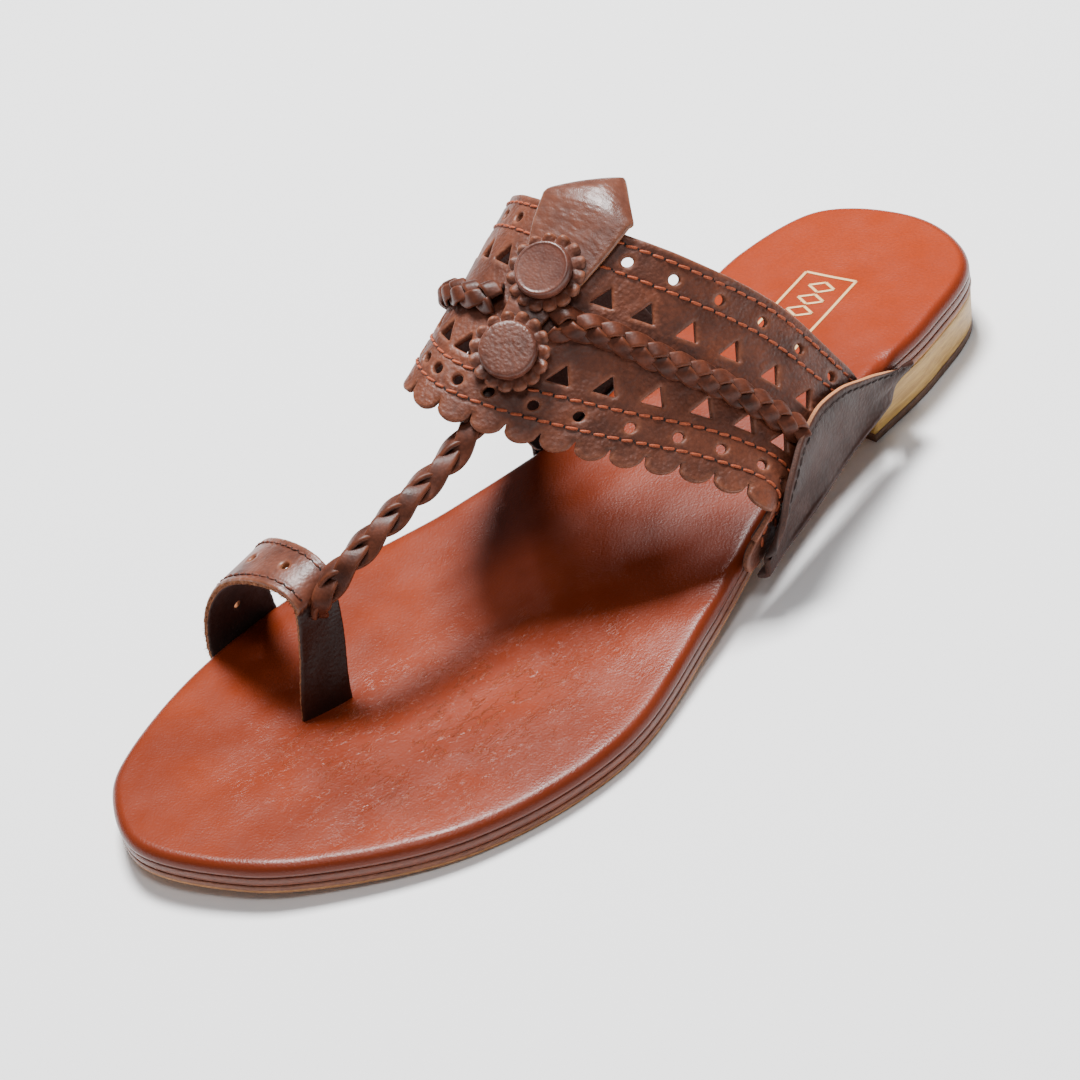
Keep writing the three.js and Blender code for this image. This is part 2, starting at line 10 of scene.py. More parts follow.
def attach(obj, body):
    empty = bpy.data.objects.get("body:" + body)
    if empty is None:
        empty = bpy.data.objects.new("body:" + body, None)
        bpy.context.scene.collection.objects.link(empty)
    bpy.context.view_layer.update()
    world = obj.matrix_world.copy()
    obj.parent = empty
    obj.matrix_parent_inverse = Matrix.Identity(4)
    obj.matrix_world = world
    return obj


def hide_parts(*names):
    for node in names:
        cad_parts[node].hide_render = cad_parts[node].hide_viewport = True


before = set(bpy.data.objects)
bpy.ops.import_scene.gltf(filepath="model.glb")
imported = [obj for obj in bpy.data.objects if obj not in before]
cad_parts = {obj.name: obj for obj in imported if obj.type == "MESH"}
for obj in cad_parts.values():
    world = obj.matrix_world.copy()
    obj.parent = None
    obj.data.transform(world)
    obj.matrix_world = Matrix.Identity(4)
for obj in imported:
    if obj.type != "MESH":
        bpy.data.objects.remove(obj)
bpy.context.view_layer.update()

RANDOM = np.random.default_rng(11)

# ---------- sizes, as in the part ----------
SHIFT = 8.3
GAP = 0.3
WALL = 1.7
FLAP_WALL = 1.5
LENGTH = 250.0
OUTSOLE = 2.0
MIDSOLE = 1.7
INSOLE = 3.2
MIDSOLE_BASE = OUTSOLE + GAP
INSOLE_BASE = MIDSOLE_BASE + MIDSOLE + GAP
INSOLE_TOP = INSOLE_BASE + INSOLE
TOE_SPRING = 3.6
TOE_SPRING_START = 62.0
FOREFOOT_FLAT_END = 42.0
SEAT_LIFT = 11.5
SEAT_FRONT = -74.0
BREAST_Y = -67.0
TOP_PIECE = 2.2
HEEL_FOOT_INSET = 1.2
HEEL_HEAD_INSET = 0.3
TUCK = 5.0

OUTLINE = [  # y, inner x, outer x
    (-116, 23.5, -22.2), (-92, 29.0, -30.6), (-61, 23.6, -34.0), (-28, 19.9, -39.8), (8, 27.9, -50.4),
    (45, 39.0, -59.1), (80, 38.0, -51.6), (107, 28.2, -32.4), (117, 20.3, -20.3)]
HEEL_TIP_X = -0.7
TOE_TIP_X = 2.0

VAMP = [  # front edge, rear edge, from the outer side to the inner one
    ((-47.5, -6.5, 9.0), (-35.0, -66.0, 15.6)),
    ((-48.0, -8.5, 15.5), (-36.0, -61.0, 22.0)),
    ((-50.0, -13.5, 24.0), (-36.5, -55.0, 32.5)),
    ((-40.0, -5.0, 33.0), (-31.5, -44.0, 52.5)),
    ((-24.5, 9.5, 42.5), (-23.5, -30.0, 69.5)),
    ((-7.5, 21.0, 50.5), (-11.0, -21.5, 78.0)),
    ((5.5, 25.5, 55.0), (3.5, -20.0, 80.5)),
    ((15.5, 22.0, 55.0), (17.5, -22.5, 77.5)),
    ((23.0, 12.5, 47.5), (29.5, -29.5, 68.0)),
    ((27.5, -1.5, 34.0), (33.5, -41.5, 52.0)),
    ((28.0, -11.0, 20.5), (30.0, -54.0, 31.5)),
    ((23.0, -14.0, 9.8), (24.6, -60.0, 15.6))]

RING = [  # front edge, rear edge, from the tuck at the inner side over the toe and down the post
    ((34.0, 74.0, 3.15), (35.0, 54.0, 3.15)),
    ((38.6, 74.0, 3.2), (39.6, 54.0, 3.2)),
    ((40.6, 73.9, 5.2), (41.4, 54.0, 5.2)),
    ((40.5, 73.6, 10.0), (41.5, 54.3, 10.6)),
    ((38.8, 73.0, 16.6), (40.0, 55.0, 17.6)),
    ((34.8, 72.4, 23.4), (36.2, 56.0, 25.0)),
    ((28.8, 72.0, 29.4), (29.8, 57.0, 31.2)),
    ((21.4, 71.6, 33.4), (21.6, 57.8, 34.8)),
    ((13.0, 71.0, 35.4), (13.5, 58.6, 36.6)),
    ((7.2, 70.6, 34.6), (7.6, 59.2, 36.0)),
    ((4.7, 70.8, 31.4), (4.9, 59.6, 32.6)),
    ((4.1, 73.2, 22.0), (3.0, 61.8, 22.0)),
    ((3.7, 76.6, 12.0), (1.0, 65.2, 12.0)),
    ((3.6, 78.0, 4.8), (0.7, 66.2, 4.8))]

T_STRAP = [
    (-1.6, 7.0, 59.0), (-2.0, 16.5, 53.4), (-2.3, 22.5, 49.6), (-2.2, 31.0, 46.4), (-1.4, 43.0, 43.6),
    (0.0, 54.8, 39.6), (2.0, 62.0, 35.6), (3.0, 65.6, 31.8), (3.2, 66.6, 28.6)]

OUTER_FLAP = [  # top edge, station along the sole's edge
    ((-36.6, -76.0, 17.5), -77.0), ((-38.6, -66.0, 22.5), -70.0), ((-40.2, -56.0, 27.4), -60.0),
    ((-42.4, -46.0, 31.0), -49.0), ((-45.2, -35.0, 31.8), -37.0), ((-49.2, -25.0, 29.0), -26.0),
    ((-51.6, -18.5, 21.5), -17.0), ((-50.8, -14.0, 12.0), -10.5)]
INNER_FLAP = [
    ((29.0, -78.0, 17.5), -78.0), ((30.4, -67.0, 21.5), -69.0), ((31.8, -57.0, 25.5), -58.5),
    ((32.6, -46.0, 28.5), -47.0), ((32.6, -35.0, 30.0), -36.0), ((31.8, -25.0, 28.5), -26.0),
    ((31.0, -18.5, 21.5), -19.0), ((28.6, -15.0, 12.5), -14.0)]

FLAP_EDGE_REACH = 1.4
FLAP_BELLY_REACH = 4.6
FLAP_BELLY_LIFT = 6.4
FLAP_SHOULDER = 0.55

TAB = [  # place across the vamp, place along it, half width, all as shares
    (0.486, 0.26, 0.022), (0.490, 0.50, 0.026), (0.490, 0.72, 0.040),
    (0.498, 0.88, 0.056), (0.503, 1.02, 0.066)]
TAB_OVERHANG = 12.8
TAB_CORNER_BACK = 11.6
TAB_POINT_SHAPE = 1.12
TAB_ON_VAMP = 0.72

FRONT_MEDALLION = (0.478, 0.355)
REAR_MEDALLION = (0.492, 0.715)
DISC_RADIUS = 8.4
BUTTON_RADIUS = 6.2
BUTTON_HEIGHT = 2.6
DISC_THICKNESS = 1.5
DISC_LOBES = 15
DISC_SEAT = FLAP_WALL + GAP + 0.12
BUTTON_SEAT = DISC_SEAT + 0.9

OUTER_BRAID = [(0.455, 0.545), (0.405, 0.562), (0.335, 0.52), (0.278, 0.49), (0.222, 0.47), (0.190, 0.46)]
INNER_BRAID = [(0.535, 0.54), (0.600, 0.49), (0.680, 0.45), (0.745, 0.45), (0.800, 0.46), (0.825, 0.465)]

VAMP_WIDTH = 52.0
SCALLOPS = 22
SCALLOP_DEPTH = 3.6
RING_WIDTH = 16.0


# ---------- curves and the last's shape ----------
def spline(points):
    """An open curve through the points; the returned function takes shares from 0 to 1."""
    p = np.array(points, float)
    p = np.vstack([2 * p[0] - p[1], p, 2 * p[-1] - p[-2]])

    def at(share):
        t = np.clip(np.asarray(share, float), 0, 1) * (len(p) - 3)
        i = np.minimum(t.astype(int), len(p) - 4)
        w = (t - i)[..., None]
        a, b, c, d = p[i], p[i + 1], p[i + 2], p[i + 3]
        return 0.5 * (2 * b + (c - a) * w + (2 * a - 5 * b + 4 * c - d) * w ** 2
                      + (3 * b - 3 * c + d - a) * w ** 3)
    return at


def lengths_of(line):
    """How far along a line each of its points is."""
    return np.concatenate([[0], np.cumsum(np.linalg.norm(np.diff(line, axis=0), axis=1))])


def placed_at(distance, lengths, values):
    """Values given along a line, read off at other distances along it."""
    return np.stack([np.interp(distance, lengths, values[:, c]) for c in range(3)], 1)


def turns(count):
    """Angles evenly round a circle."""
    return np.arange(count) * 2 * math.pi / count


def smooth_step(share):
    s = np.clip(share, 0, 1)
    return s * s * (3 - 2 * s)


def sole_bottom(y):
    y = np.asarray(y, float)
    seat = SEAT_LIFT * smooth_step((FOREFOOT_FLAT_END - y) / (FOREFOOT_FLAT_END - SEAT_FRONT))
    toe = np.maximum(y - TOE_SPRING_START, 0) / (LENGTH / 2 - TOE_SPRING_START)
    return seat + TOE_SPRING * toe * toe


def outline_table(steps=60):
    """The sole's outline as a dense closed line: heel tip, inner side, toe tip, outer side."""
    inner = [(row[1], row[0]) for row in OUTLINE]
    outer = [(row[2], row[0]) for row in OUTLINE][::-1]
    p = np.array([(HEEL_TIP_X, -LENGTH / 2), *inner, (TOE_TIP_X, LENGTH / 2), *outer], float)
    line = []
    for i in range(len(p)):
        a, b, c, d = (p[(i + k) % len(p)] for k in (-1, 0, 1, 2))
        da, db, dc = (math.sqrt(np.linalg.norm(q - r)) for q, r in ((b, a), (c, b), (d, c)))
        t1 = ((b - a) / da - (c - a) / (da + db) + (c - b) / db) * db
        t2 = ((c - b) / db - (d - b) / (db + dc) + (d - c) / dc) * db
        for w in np.arange(steps) / steps:
            line.append(b + t1 * w + (-3 * b + 3 * c - 2 * t1 - t2) * w ** 2
                        + (2 * b - 2 * c + t1 + t2) * w ** 3)
    return np.array(line)


OUTLINE_LINE = outline_table()
OUTLINE_WAY = np.roll(OUTLINE_LINE, -1, 0) - np.roll(OUTLINE_LINE, 1, 0)
OUTLINE_WAY /= np.linalg.norm(OUTLINE_WAY, axis=1)[:, None]


def outline_at(share, inset=0.0):
    """Points of the outline, moved inwards by inset."""
    t = (np.asarray(share, float) % 1) * len(OUTLINE_LINE)
    i = t.astype(int) % len(OUTLINE_LINE)
    j = (i + 1) % len(OUTLINE_LINE)
    w = (t - np.floor(t))[..., None]
    p = OUTLINE_LINE[i] * (1 - w) + OUTLINE_LINE[j] * w
    way = OUTLINE_WAY[i] * (1 - w) + OUTLINE_WAY[j] * w
    return p + np.stack([-way[..., 1], way[..., 0]], -1) * inset


def share_at_y(side, y):
    half = len(OUTLINE_LINE) // 2
    if side == "inner":
        return np.interp(y, OUTLINE_LINE[:half, 1], np.arange(half) / len(OUTLINE_LINE))
    back = np.arange(len(OUTLINE_LINE) - 1, half, -1)
    return np.interp(y, OUTLINE_LINE[back, 1], back / len(OUTLINE_LINE))


def between(front, rear):
    """The ruled surface between two edges: u runs along them and v from front to rear."""
    def at(u, v):
        u, v = np.broadcast_arrays(np.asarray(u, float), np.asarray(v, float))
        a, b = front(u), rear(u)
        return a + (b - a) * v[..., None]
    return at


vamp_front = spline([row[0] for row in VAMP])
vamp_rear = spline([row[1] for row in VAMP])
vamp = between(vamp_front, vamp_rear)
ring = between(spline([row[0] for row in RING]), spline([row[1] for row in RING]))


def unit(v):
    return v / (np.linalg.norm(v, axis=-1)[..., None] + 1e-12)


def surface_normal(surface, u, v, sign=1):
    """The outward normal of a surface at (u, v)."""
    h = 0.002
    pu = surface(np.clip(u + h, 0, 1), v) - surface(np.clip(u - h, 0, 1), v)
    pv = surface(u, np.clip(v + h, -0.2, 1.2)) - surface(u, np.clip(v - h, -0.2, 1.2))
    return unit(np.cross(pv, pu)) * sign


def on_vamp(u, v, height):
    """Points above the vamp's outer face."""
    u, v = np.broadcast_arrays(np.asarray(u, float), np.asarray(v, float))
    return vamp(u, v) + surface_normal(vamp, u, v) * (WALL / 2 + np.asarray(height, float)[..., None])


# ---------- meshes ----------
def add_mesh(name, points, faces, materials, face_kinds=None, fields=None, slot=None, stands_for=()):
    """Makes a mesh object from points in mm, with its faces turned outwards."""
    points = np.asarray(points, float)
    faces = [list(f) for f in faces]
    fans = np.array([(f[0], f[k], f[k + 1]) for f in faces for k in range(1, len(f) - 1)])
    a, b, c = (points[fans] - points.mean(0)).transpose(1, 0, 2)
    if (a * np.cross(b, c)).sum() < 0:
        faces = [f[::-1] for f in faces]
    mesh = bpy.data.meshes.new(name)
    placed = (points + np.array([SHIFT, 0, 0])) * 0.001
    mesh.from_pydata(placed.tolist(), [], faces)
    for material in materials:
        mesh.materials.append(material)
    if face_kinds is not None:
        mesh.polygons.foreach_set("material_index", np.asarray(face_kinds, np.int32))
    mesh.polygons.foreach_set("use_smooth", np.ones(len(faces), bool))
    for key, values in (fields or {}).items():
        layer = mesh.attributes.new(key, "FLOAT", "POINT")
        layer.data.foreach_set("value", np.asarray(values, np.float32))
    mesh.update()
    obj = bpy.data.objects.new(name, mesh)
    bpy.context.scene.collection.objects.link(obj)
    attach(obj, "root")
    if stands_for:
        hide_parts(*stands_for)
    return obj


def two_faced(name, top, bottom, faces, rim, materials, fields, **more):
    """An outer and an inner face of the same layout, closed by a strip along their rim."""
    n = len(top)
    faces = [list(f) for f in faces]
    backs = [[k + n for k in f[::-1]] for f in faces]
    strip = [[b, a, a + n, b + n] for a, b in rim]
    kinds = [0] * len(faces) + [1] * len(backs) + [2] * len(strip)
    doubled = {key: np.concatenate([values, values]) for key, values in fields.items()}
    return add_mesh(name, np.vstack([top, bottom]), faces + backs + strip, materials, kinds, doubled, **more)


class Batch:
    """Many small shapes gathered into one mesh."""

    def __init__(self):
        self.points, self.faces, self.kinds, self.field, self.count = [], [], [], [], 0

    def add(self, points, faces, kind=0, field=None):
        points = np.asarray(points, float)
        self.points.append(points)
        self.faces += [[i + self.count for i in f] for f in faces]
        self.kinds += [kind] * len(faces)
        self.field.append(np.zeros(len(points)) if field is None else np.asarray(field, float))
        self.count += len(points)

    def make(self, name, materials, **more):
        return add_mesh(name, np.vstack(self.points), self.faces, materials, self.kinds,
                        {"tip": np.concatenate(self.field)}, **more)


def tube_faces(rings, sides, closed_ends=True):
    faces = []
    for i in range(rings - 1):
        for k in range(sides):
            a, b = i * sides + k, i * sides + (k + 1) % sides
            faces.append((a, b, b + sides, a + sides))
    if closed_ends:
        faces.append(tuple(range(sides))[::-1])
        faces.append(tuple((rings - 1) * sides + k for k in range(sides)))
    return faces


def in_chunks(q, work):
    """Runs work on a few thousand points at a time, to spare memory."""
    return np.concatenate([work(q[k:k + 4000, None]) for k in range(0, len(q), 4000)])


def segment_distance(q, loops):
    """The distance of each point to the nearest closed loop's line."""
    def nearest(p):
        t = np.clip(((p - loop) * way).sum(2) / squares, 0, 1)
        return np.sqrt(((p - loop - t[..., None] * way) ** 2).sum(2).min(1))
    best = np.full(len(q), 1e9)
    for loop in loops:
        way = np.roll(loop, -1, 0) - loop
        squares = (way * way).sum(1) + 1e-12
        best = np.minimum(best, in_chunks(q, nearest))
    return best


def inside(q, loops):
    """Even-odd test of points against closed loops."""
    def crossed(p):
        level = (a[:, 1] > p[..., 1]) != (b[:, 1] > p[..., 1])
        return (level & (p[..., 0] < a[:, 0] + (p[..., 1] - a[:, 1]) * slope)).sum(1)
    crossings = np.zeros(len(q), int)
    for a in loops:
        b = np.roll(a, -1, 0)
        rise = b[:, 1] - a[:, 1]
        slope = (b[:, 0] - a[:, 0]) / np.where(rise == 0, 1e-12, rise)
        crossings += in_chunks(q, crossed)
    return crossings % 2 == 1


def offset_points(loop, distance, spacing):
    """Points at a distance to either side of a closed loop."""
    way = unit(np.roll(loop, -1, 0) - np.roll(loop, 1, 0))
    side = np.stack([-way[:, 1], way[:, 0]], 1)
    every = max(1, int(round(spacing / np.linalg.norm(np.roll(loop, -1, 0) - loop, axis=1).mean())))
    return np.vstack([loop[::every] + side[::every] * distance, loop[::every] - side[::every] * distance])


class Flat:
    """A surface laid out flat in mm: a along it and b across, from the surface's own u and v."""

    def __init__(self, surface, width, sign=1):
        self.surface, self.width, self.sign = surface, width, sign
        self.us = np.linspace(0, 1, 1200)
        self.lengths = lengths_of(surface(self.us, 0.5))
        self.length = self.lengths[-1]

    def a_of(self, u):
        return np.interp(u, self.us, self.lengths)

    def uv(self, q):
        return np.interp(q[..., 0], self.lengths, self.us), q[..., 1] / self.width

    def point(self, q):
        return self.surface(*self.uv(q))

    def normal(self, q):
        return surface_normal(self.surface, *self.uv(q), self.sign)

    def local(self, u, v, shape):
        """A loop given in real mm round the place (u, v), as flat points."""
        q = np.array([self.a_of(u), v * self.width])
        h = 0.5
        along = np.linalg.norm(self.point(q + [h, 0]) - self.point(q - [h, 0])) / (2 * h)
        across = np.linalg.norm(self.point(q + [0, h]) - self.point(q - [0, h])) / (2 * h)
        return q + np.asarray(shape) / [along, across]

    def width_at(self, u):
        return np.linalg.norm(self.surface(u, 1.0) - self.surface(u, 0.0), axis=-1)

    def row(self, u0, u1, front=None, rear=None, step=0.2):
        """A line at a real distance from the front or the rear edge."""
        a = np.arange(self.a_of(u0), self.a_of(u1), step)
        u = np.interp(a, self.lengths, self.us)
        w = self.width_at(u)
        v = front / w if front is not None else 1 - rear / w
        return np.stack([a, v * self.width], 1)


def cut_sheet(name, flat, border, holes, spacing, wall, relief, materials, fields=None, **more):
    """A leather sheet with cut-outs; border and holes are flat loops, relief(q, d) the face's height."""
    loops = [border, *holes]
    low, high = border.min(0), border.max(0)
    rows = np.arange(low[1] + spacing / 2, high[1], spacing * 0.87)
    grid = np.vstack([[(a, b) for a in np.arange(low[0] + (k % 2) * spacing / 2, high[0], spacing)]
                      for k, b in enumerate(rows)])
    near = segment_distance(grid, loops)
    free = [grid[(near > 0.75) & inside(grid, loops)]]
    for distance in (0.22, 0.5):
        ring_points = np.vstack([offset_points(loop, distance, 0.45) for loop in loops])
        clear = segment_distance(ring_points, loops)
        free.append(ring_points[(clear > 0.9 * distance) & inside(ring_points, loops)])
    coords, edges = [], []
    for loop in loops:
        start = len(coords)
        coords += [Vector(p) for p in loop.tolist()]
        edges += [(start + k, start + (k + 1) % len(loop)) for k in range(len(loop))]
    coords += [Vector(p) for p in np.vstack(free).tolist()]
    out = delaunay_2d_cdt(coords, edges, [], 0, 1e-5)
    q = np.array([tuple(v) for v in out[0]])
    triangles = np.array([tuple(f) for f in out[2] if len(f) == 3])
    triangles = triangles[inside(q[triangles].mean(1), loops)]
    used, back = np.unique(triangles, return_inverse=True)
    q, triangles = q[used], back.reshape(-1, 3)
    near = segment_distance(q, loops)
    middle, normal = flat.point(q), flat.normal(q)
    drop = 0.34 * np.clip(1 - near / 0.5, 0, 1) ** 2
    top = middle + normal * (wall / 2 + relief(q, near) - drop)[:, None]
    bottom = middle - normal * (wall / 2 - drop)[:, None]
    directed = {(t[k], t[(k + 1) % 3]) for t in triangles.tolist() for k in range(3)}
    rim = sorted((a, b) for a, b in directed if (b, a) not in directed)
    made = {"edge": np.clip(1 - near / 1.1, 0, 1)}
    if fields is not None:
        made.update(fields(q, made["edge"]))
    return two_faced(name, top, bottom, triangles.tolist(), rim, materials, made, **more)


def grid_sheet(name, middle, wall, materials, relief=None, raw=None, **more):
    """A leather sheet from a grid of middle points, with rounded rims."""
    columns, rows = middle.shape[:2]
    normal = unit(np.cross(np.gradient(middle, axis=0), np.gradient(middle, axis=1)))
    i, j = np.meshgrid(np.arange(columns), np.arange(rows), indexing="ij")
    step_a = np.linalg.norm(np.gradient(middle, axis=0), axis=2).mean()
    step_b = np.linalg.norm(np.gradient(middle, axis=1), axis=2).mean()
    near = np.minimum(np.minimum(i, columns - 1 - i) * step_a, np.minimum(j, rows - 1 - j) * step_b)
    drop = 0.3 * np.clip(1 - near / 0.6, 0, 1) ** 2
    height = np.zeros_like(near) if relief is None else relief
    top = middle + normal * (wall / 2 + height - drop)[..., None]
    bottom = middle - normal * (wall / 2 - height - drop)[..., None]
    faces = [[k, k + rows, k + rows + 1, k + 1] for a in range(columns - 1)
             for k in range(a * rows, (a + 1) * rows - 1)]
    border = ([a * rows for a in range(columns)] + [(columns - 1) * rows + b for b in range(1, rows)]
              + [a * rows + rows - 1 for a in range(columns - 2, -1, -1)] + list(range(rows - 2, 0, -1)))
    rim = zip(border, border[1:] + border[:1])
    fields = {"edge": np.clip(1 - near / 1.2, 0, 1).reshape(-1)}
    if raw is not None:
        fields["raw"] = raw.reshape(-1)
    return two_faced(name, top.reshape(-1, 3), bottom.reshape(-1, 3), faces, rim, materials, fields, **more)


# ---------- materials ----------
def colour(shade, factor=1.0):
    """A colour from display values of 0 to 255, dimmed by a factor; anything else stays as it is."""
    if not isinstance(shade, tuple) or len(shade) == 4:
        return shade
    shares = [c / 255 for c in shade]
    linear = [c / 12.92 if c <= 0.04045 else ((c + 0.055) / 1.055) ** 2.4 for c in shares]
    return (*[c * factor for c in linear], 1.0)


class Nodes:
    """A material with a short way to add and join nodes."""

    def __init__(self, name):
        self.material = bpy.data.materials.new(name)
        self.material.use_nodes = True
        self.tree = self.material.node_tree
        self.tree.nodes.clear()
        self.out = self.tree.nodes.new("ShaderNodeOutputMaterial")
        self.shader = self.tree.nodes.new("ShaderNodeBsdfPrincipled")
        self.tree.links.new(self.shader.outputs[0], self.out.inputs[0])
        self.place = self.tree.nodes.new("ShaderNodeTexCoord").outputs["Object"]

    def put(self, socket, value):
        if isinstance(value, bpy.types.NodeSocket):
            self.tree.links.new(value, socket)
        else:
            socket.default_value = value

    def node(self, kind, output, values, **settings):
        """Adds a node with its settings and input values, and gives one of its outputs."""
        node = self.tree.nodes.new("ShaderNode" + kind)
        for key, value in settings.items():
            setattr(node, key, value)
        for key, value in values.items():
            self.put(node.inputs[key], value)
        return node.outputs[output]

    def stretched(self, factors, turn=0.0):
        """Coordinates that draw a pattern out by the factors, turned round z by an angle in degrees."""
        values = {"Vector": self.place, "Scale": factors, "Rotation": (0, 0, math.radians(turn))}
        return self.node("Mapping", 0, values, vector_type="TEXTURE")

    def noise(self, size_mm, detail=4.0, rough=0.55, vector=None, warp=0.0):
        return self.node("TexNoise", 0, {
            "Vector": vector or self.place, "Scale": 1000.0 / size_mm, "Detail": detail, "Roughness": rough,
            "Distortion": warp})

    def cells(self, size_mm, feature="F1", vector=None):
        values = {"Vector": vector or self.place, "Scale": 1000.0 / size_mm}
        return self.node("TexVoronoi", "Distance", values, feature=feature)

    def ramp(self, value, stops):
        keys = ("From Min", "From Max", "To Min", "To Max")
        return self.node("MapRange", 0, {"Value": value, **dict(zip(keys, stops))})

    def maths(self, operation, a, b=0.0):
        return self.node("Math", 0, {0: a, 1: b}, operation=operation)

    def times(self, a, b):
        return self.maths("MULTIPLY", a, b)

    def mix(self, factor, a, b):
        return self.node("Mix", 2, {0: factor, 6: colour(a), 7: colour(b)}, data_type="RGBA")

    def over(self, base, value, start, end, top, amount=1.0):
        """Mixes a colour over the base as the value goes from start to end."""
        return self.mix(self.ramp(value, (start, end, 0.0, amount)), base, top)

    def field(self, name):
        return self.node("Attribute", "Fac", {}, attribute_name=name)

    def bump(self, height, distance_mm, normal=None):
        values = {"Height": height, "Distance": distance_mm * 0.001, "Strength": 1.0}
        if normal is not None:
            values["Normal"] = normal
        return self.node("Bump", 0, values)

    def finish(self, base, roughness, normal=None, specular=0.5):
        values = {"Base Color": base, "Roughness": roughness, "Specular IOR Level": specular}
        if normal is not None:
            values["Normal"] = normal
        for key, value in values.items():
            self.put(self.shader.inputs[key], value)
        return self.material


def leather(name, dark, light, grain=0.75, depth=0.10, rough=(0.42, 0.6), mottle=9.0, worn=None,
            worn_at="edge", wrinkle=0.0, specular=0.5, stretch=(1, 1, 1), shaded=None):
    """Grained leather: mottled colour, pebbled bump with painted shade in its grooves, fine pores, worn rims,
    and painted shade where the field named by shaded is below zero.
    """
    n = Nodes(name)
    spots = n.noise(mottle, 3.0)
    base = n.over(dark, spots, 0.32, 0.68, light)
    fine = n.noise(0.5, 2.0, 0.7)
    base = n.over(base, fine, 0.3, 0.75, dark, 0.25)
    way = n.stretched(stretch)
    pebbles = n.cells(grain, "SMOOTH_F1", way)
    # The grain's grooves, which the bump sinks, are painted darker as shade.
    base = n.over(base, pebbles, 0.35, 0.8, colour(dark, 0.5), 0.4)
    if worn is not None:
        amount = n.times(n.field(worn_at), n.ramp(n.noise(2.2, 3.0), (0.3, 0.7, 0.15, 0.75)))
        base = n.mix(amount, base, worn)
    if shaded is not None:
        # Painted shade: darker where the field named by shaded falls below zero.
        base = n.over(base, n.field(shaded), 0.0, -1.0, (22, 12, 9))
    height = n.maths("ADD", n.times(pebbles, -0.7), n.times(fine, 0.35))
    normal = n.bump(height, depth)
    if wrinkle:
        folds = n.noise(1.3, 4.0, 0.62, way, 0.6)
        normal = n.bump(folds, wrinkle, normal)
    gloss = n.ramp(n.noise(5.0, 4.0), (0.3, 0.7, *rough))
    return n.finish(base, gloss, normal, specular)


def cut_edge(name, dark, light, tan=None):
    """The raw edge of a cut hide: fibrous and matt, undyed where the field named by tan is 1."""
    n = Nodes(name)
    fibres = n.noise(0.5, 5.0, 0.7)
    base = n.over(dark, fibres, 0.3, 0.7, light)
    if tan is not None:
        raw = n.over((150, 88, 52), fibres, 0.3, 0.7, (212, 146, 96))
        base = n.mix(n.field(tan), base, raw)
    return n.finish(base, 0.85, n.bump(fibres, 0.25))


M_UPPER = leather("upper_leather", (74, 36, 22), (112, 58, 37), grain=0.85, depth=0.22, specular=0.4,
                  worn=(142, 84, 58))
# The ring leather is painted dark as shade past its fold, down the post under the ring.
M_RING = leather("ring_leather", (72, 36, 24), (112, 60, 42), depth=0.09, rough=(0.32, 0.46), specular=0.4,
                 worn=(150, 94, 66), shaded="post_shade")
M_LINING = leather("upper_lining", (40, 22, 16), (62, 36, 27), grain=0.5, rough=(0.6, 0.8))
M_EDGE = cut_edge("cut_edge_brown", (70, 36, 23), (136, 78, 50))
M_EDGE_TAN = cut_edge("cut_edge_tan", (104, 58, 32), (176, 112, 68))
M_EDGE_FLAP = cut_edge("cut_edge_flap", (44, 25, 19), (82, 48, 36), tan="raw")
M_FLAP = leather("flap_leather", (44, 23, 17), (66, 38, 30), grain=0.9, depth=0.16, rough=(0.42, 0.54),
                 specular=0.16, worn=(86, 54, 44))
M_TAB = leather("tab_leather", (84, 45, 32), (116, 66, 48), grain=1.0, depth=0.16, rough=(0.3, 0.42),
                stretch=(2.2, 1.0, 1.0), wrinkle=0.035, worn=(150, 98, 74))
# The tip field makes the strips' side edges look worn and paints shade on their undersides.
M_PLAIT = leather("plait_leather", (58, 28, 18), (96, 48, 31), grain=0.6, depth=0.06,
                  rough=(0.38, 0.54), mottle=5.0, worn=(120, 64, 40), worn_at="tip", specular=0.22,
                  shaded="tip")
M_BUTTON_GRAINED = leather("button_pebbled", (76, 40, 29), (112, 64, 48), grain=0.85, depth=0.26,
                           rough=(0.34, 0.46))
M_BUTTON_SMOOTH = leather("button_smooth", (82, 44, 34), (112, 64, 49), grain=0.55, depth=0.07,
                          rough=(0.32, 0.42))


def insole_material():
    """The glossy covered footbed, finely creased where the forefoot flexes, with pale lines painted along the
    creases as highlight.
    """
    n = Nodes("insole_leather")
    broad = n.noise(38.0, 3.0)
    base = n.over((108, 36, 9), broad, 0.35, 0.65, (134, 48, 14))
    base = n.over(base, n.field("seat"), 0.0, 1.0, (168, 56, 15), 0.6)
    speckle = n.noise(0.7, 3.0, 0.75)
    base = n.over(base, speckle, 0.35, 0.75, (112, 40, 18), 0.5)
    streaks = n.noise(1.7, 4.0, 0.6, n.stretched((3.4, 1.0, 1.0), 86.0), 0.6)
    away = n.maths("ABSOLUTE", n.maths("SUBTRACT", streaks, 0.5))
    patches = n.ramp(n.noise(5.5, 3.0), (0.42, 0.56, 0.0, 1.0))
    lines = n.times(n.ramp(away, (0.006, 0.030, 1.0, 0.0)), patches)
    crease_and_glint = n.times(lines, n.field("crease_and_glint"))
    # Pale lines along the creases: painted highlight for glints of light on them.
    base = n.mix(n.times(crease_and_glint, 0.16), base, (214, 128, 86))
    base = n.mix(n.times(n.field("rim"), 0.8), base, (92, 34, 15))
    pores = n.cells(0.55)
    height = n.maths("ADD", n.times(speckle, 0.45), n.times(pores, -0.3))
    height = n.maths("ADD", height, n.times(crease_and_glint, 1.5))
    gloss = n.ramp(n.noise(9.0, 5.0), (0.3, 0.7, 0.28, 0.4))
    return n.finish(base, gloss, n.bump(height, 0.1), 0.26)


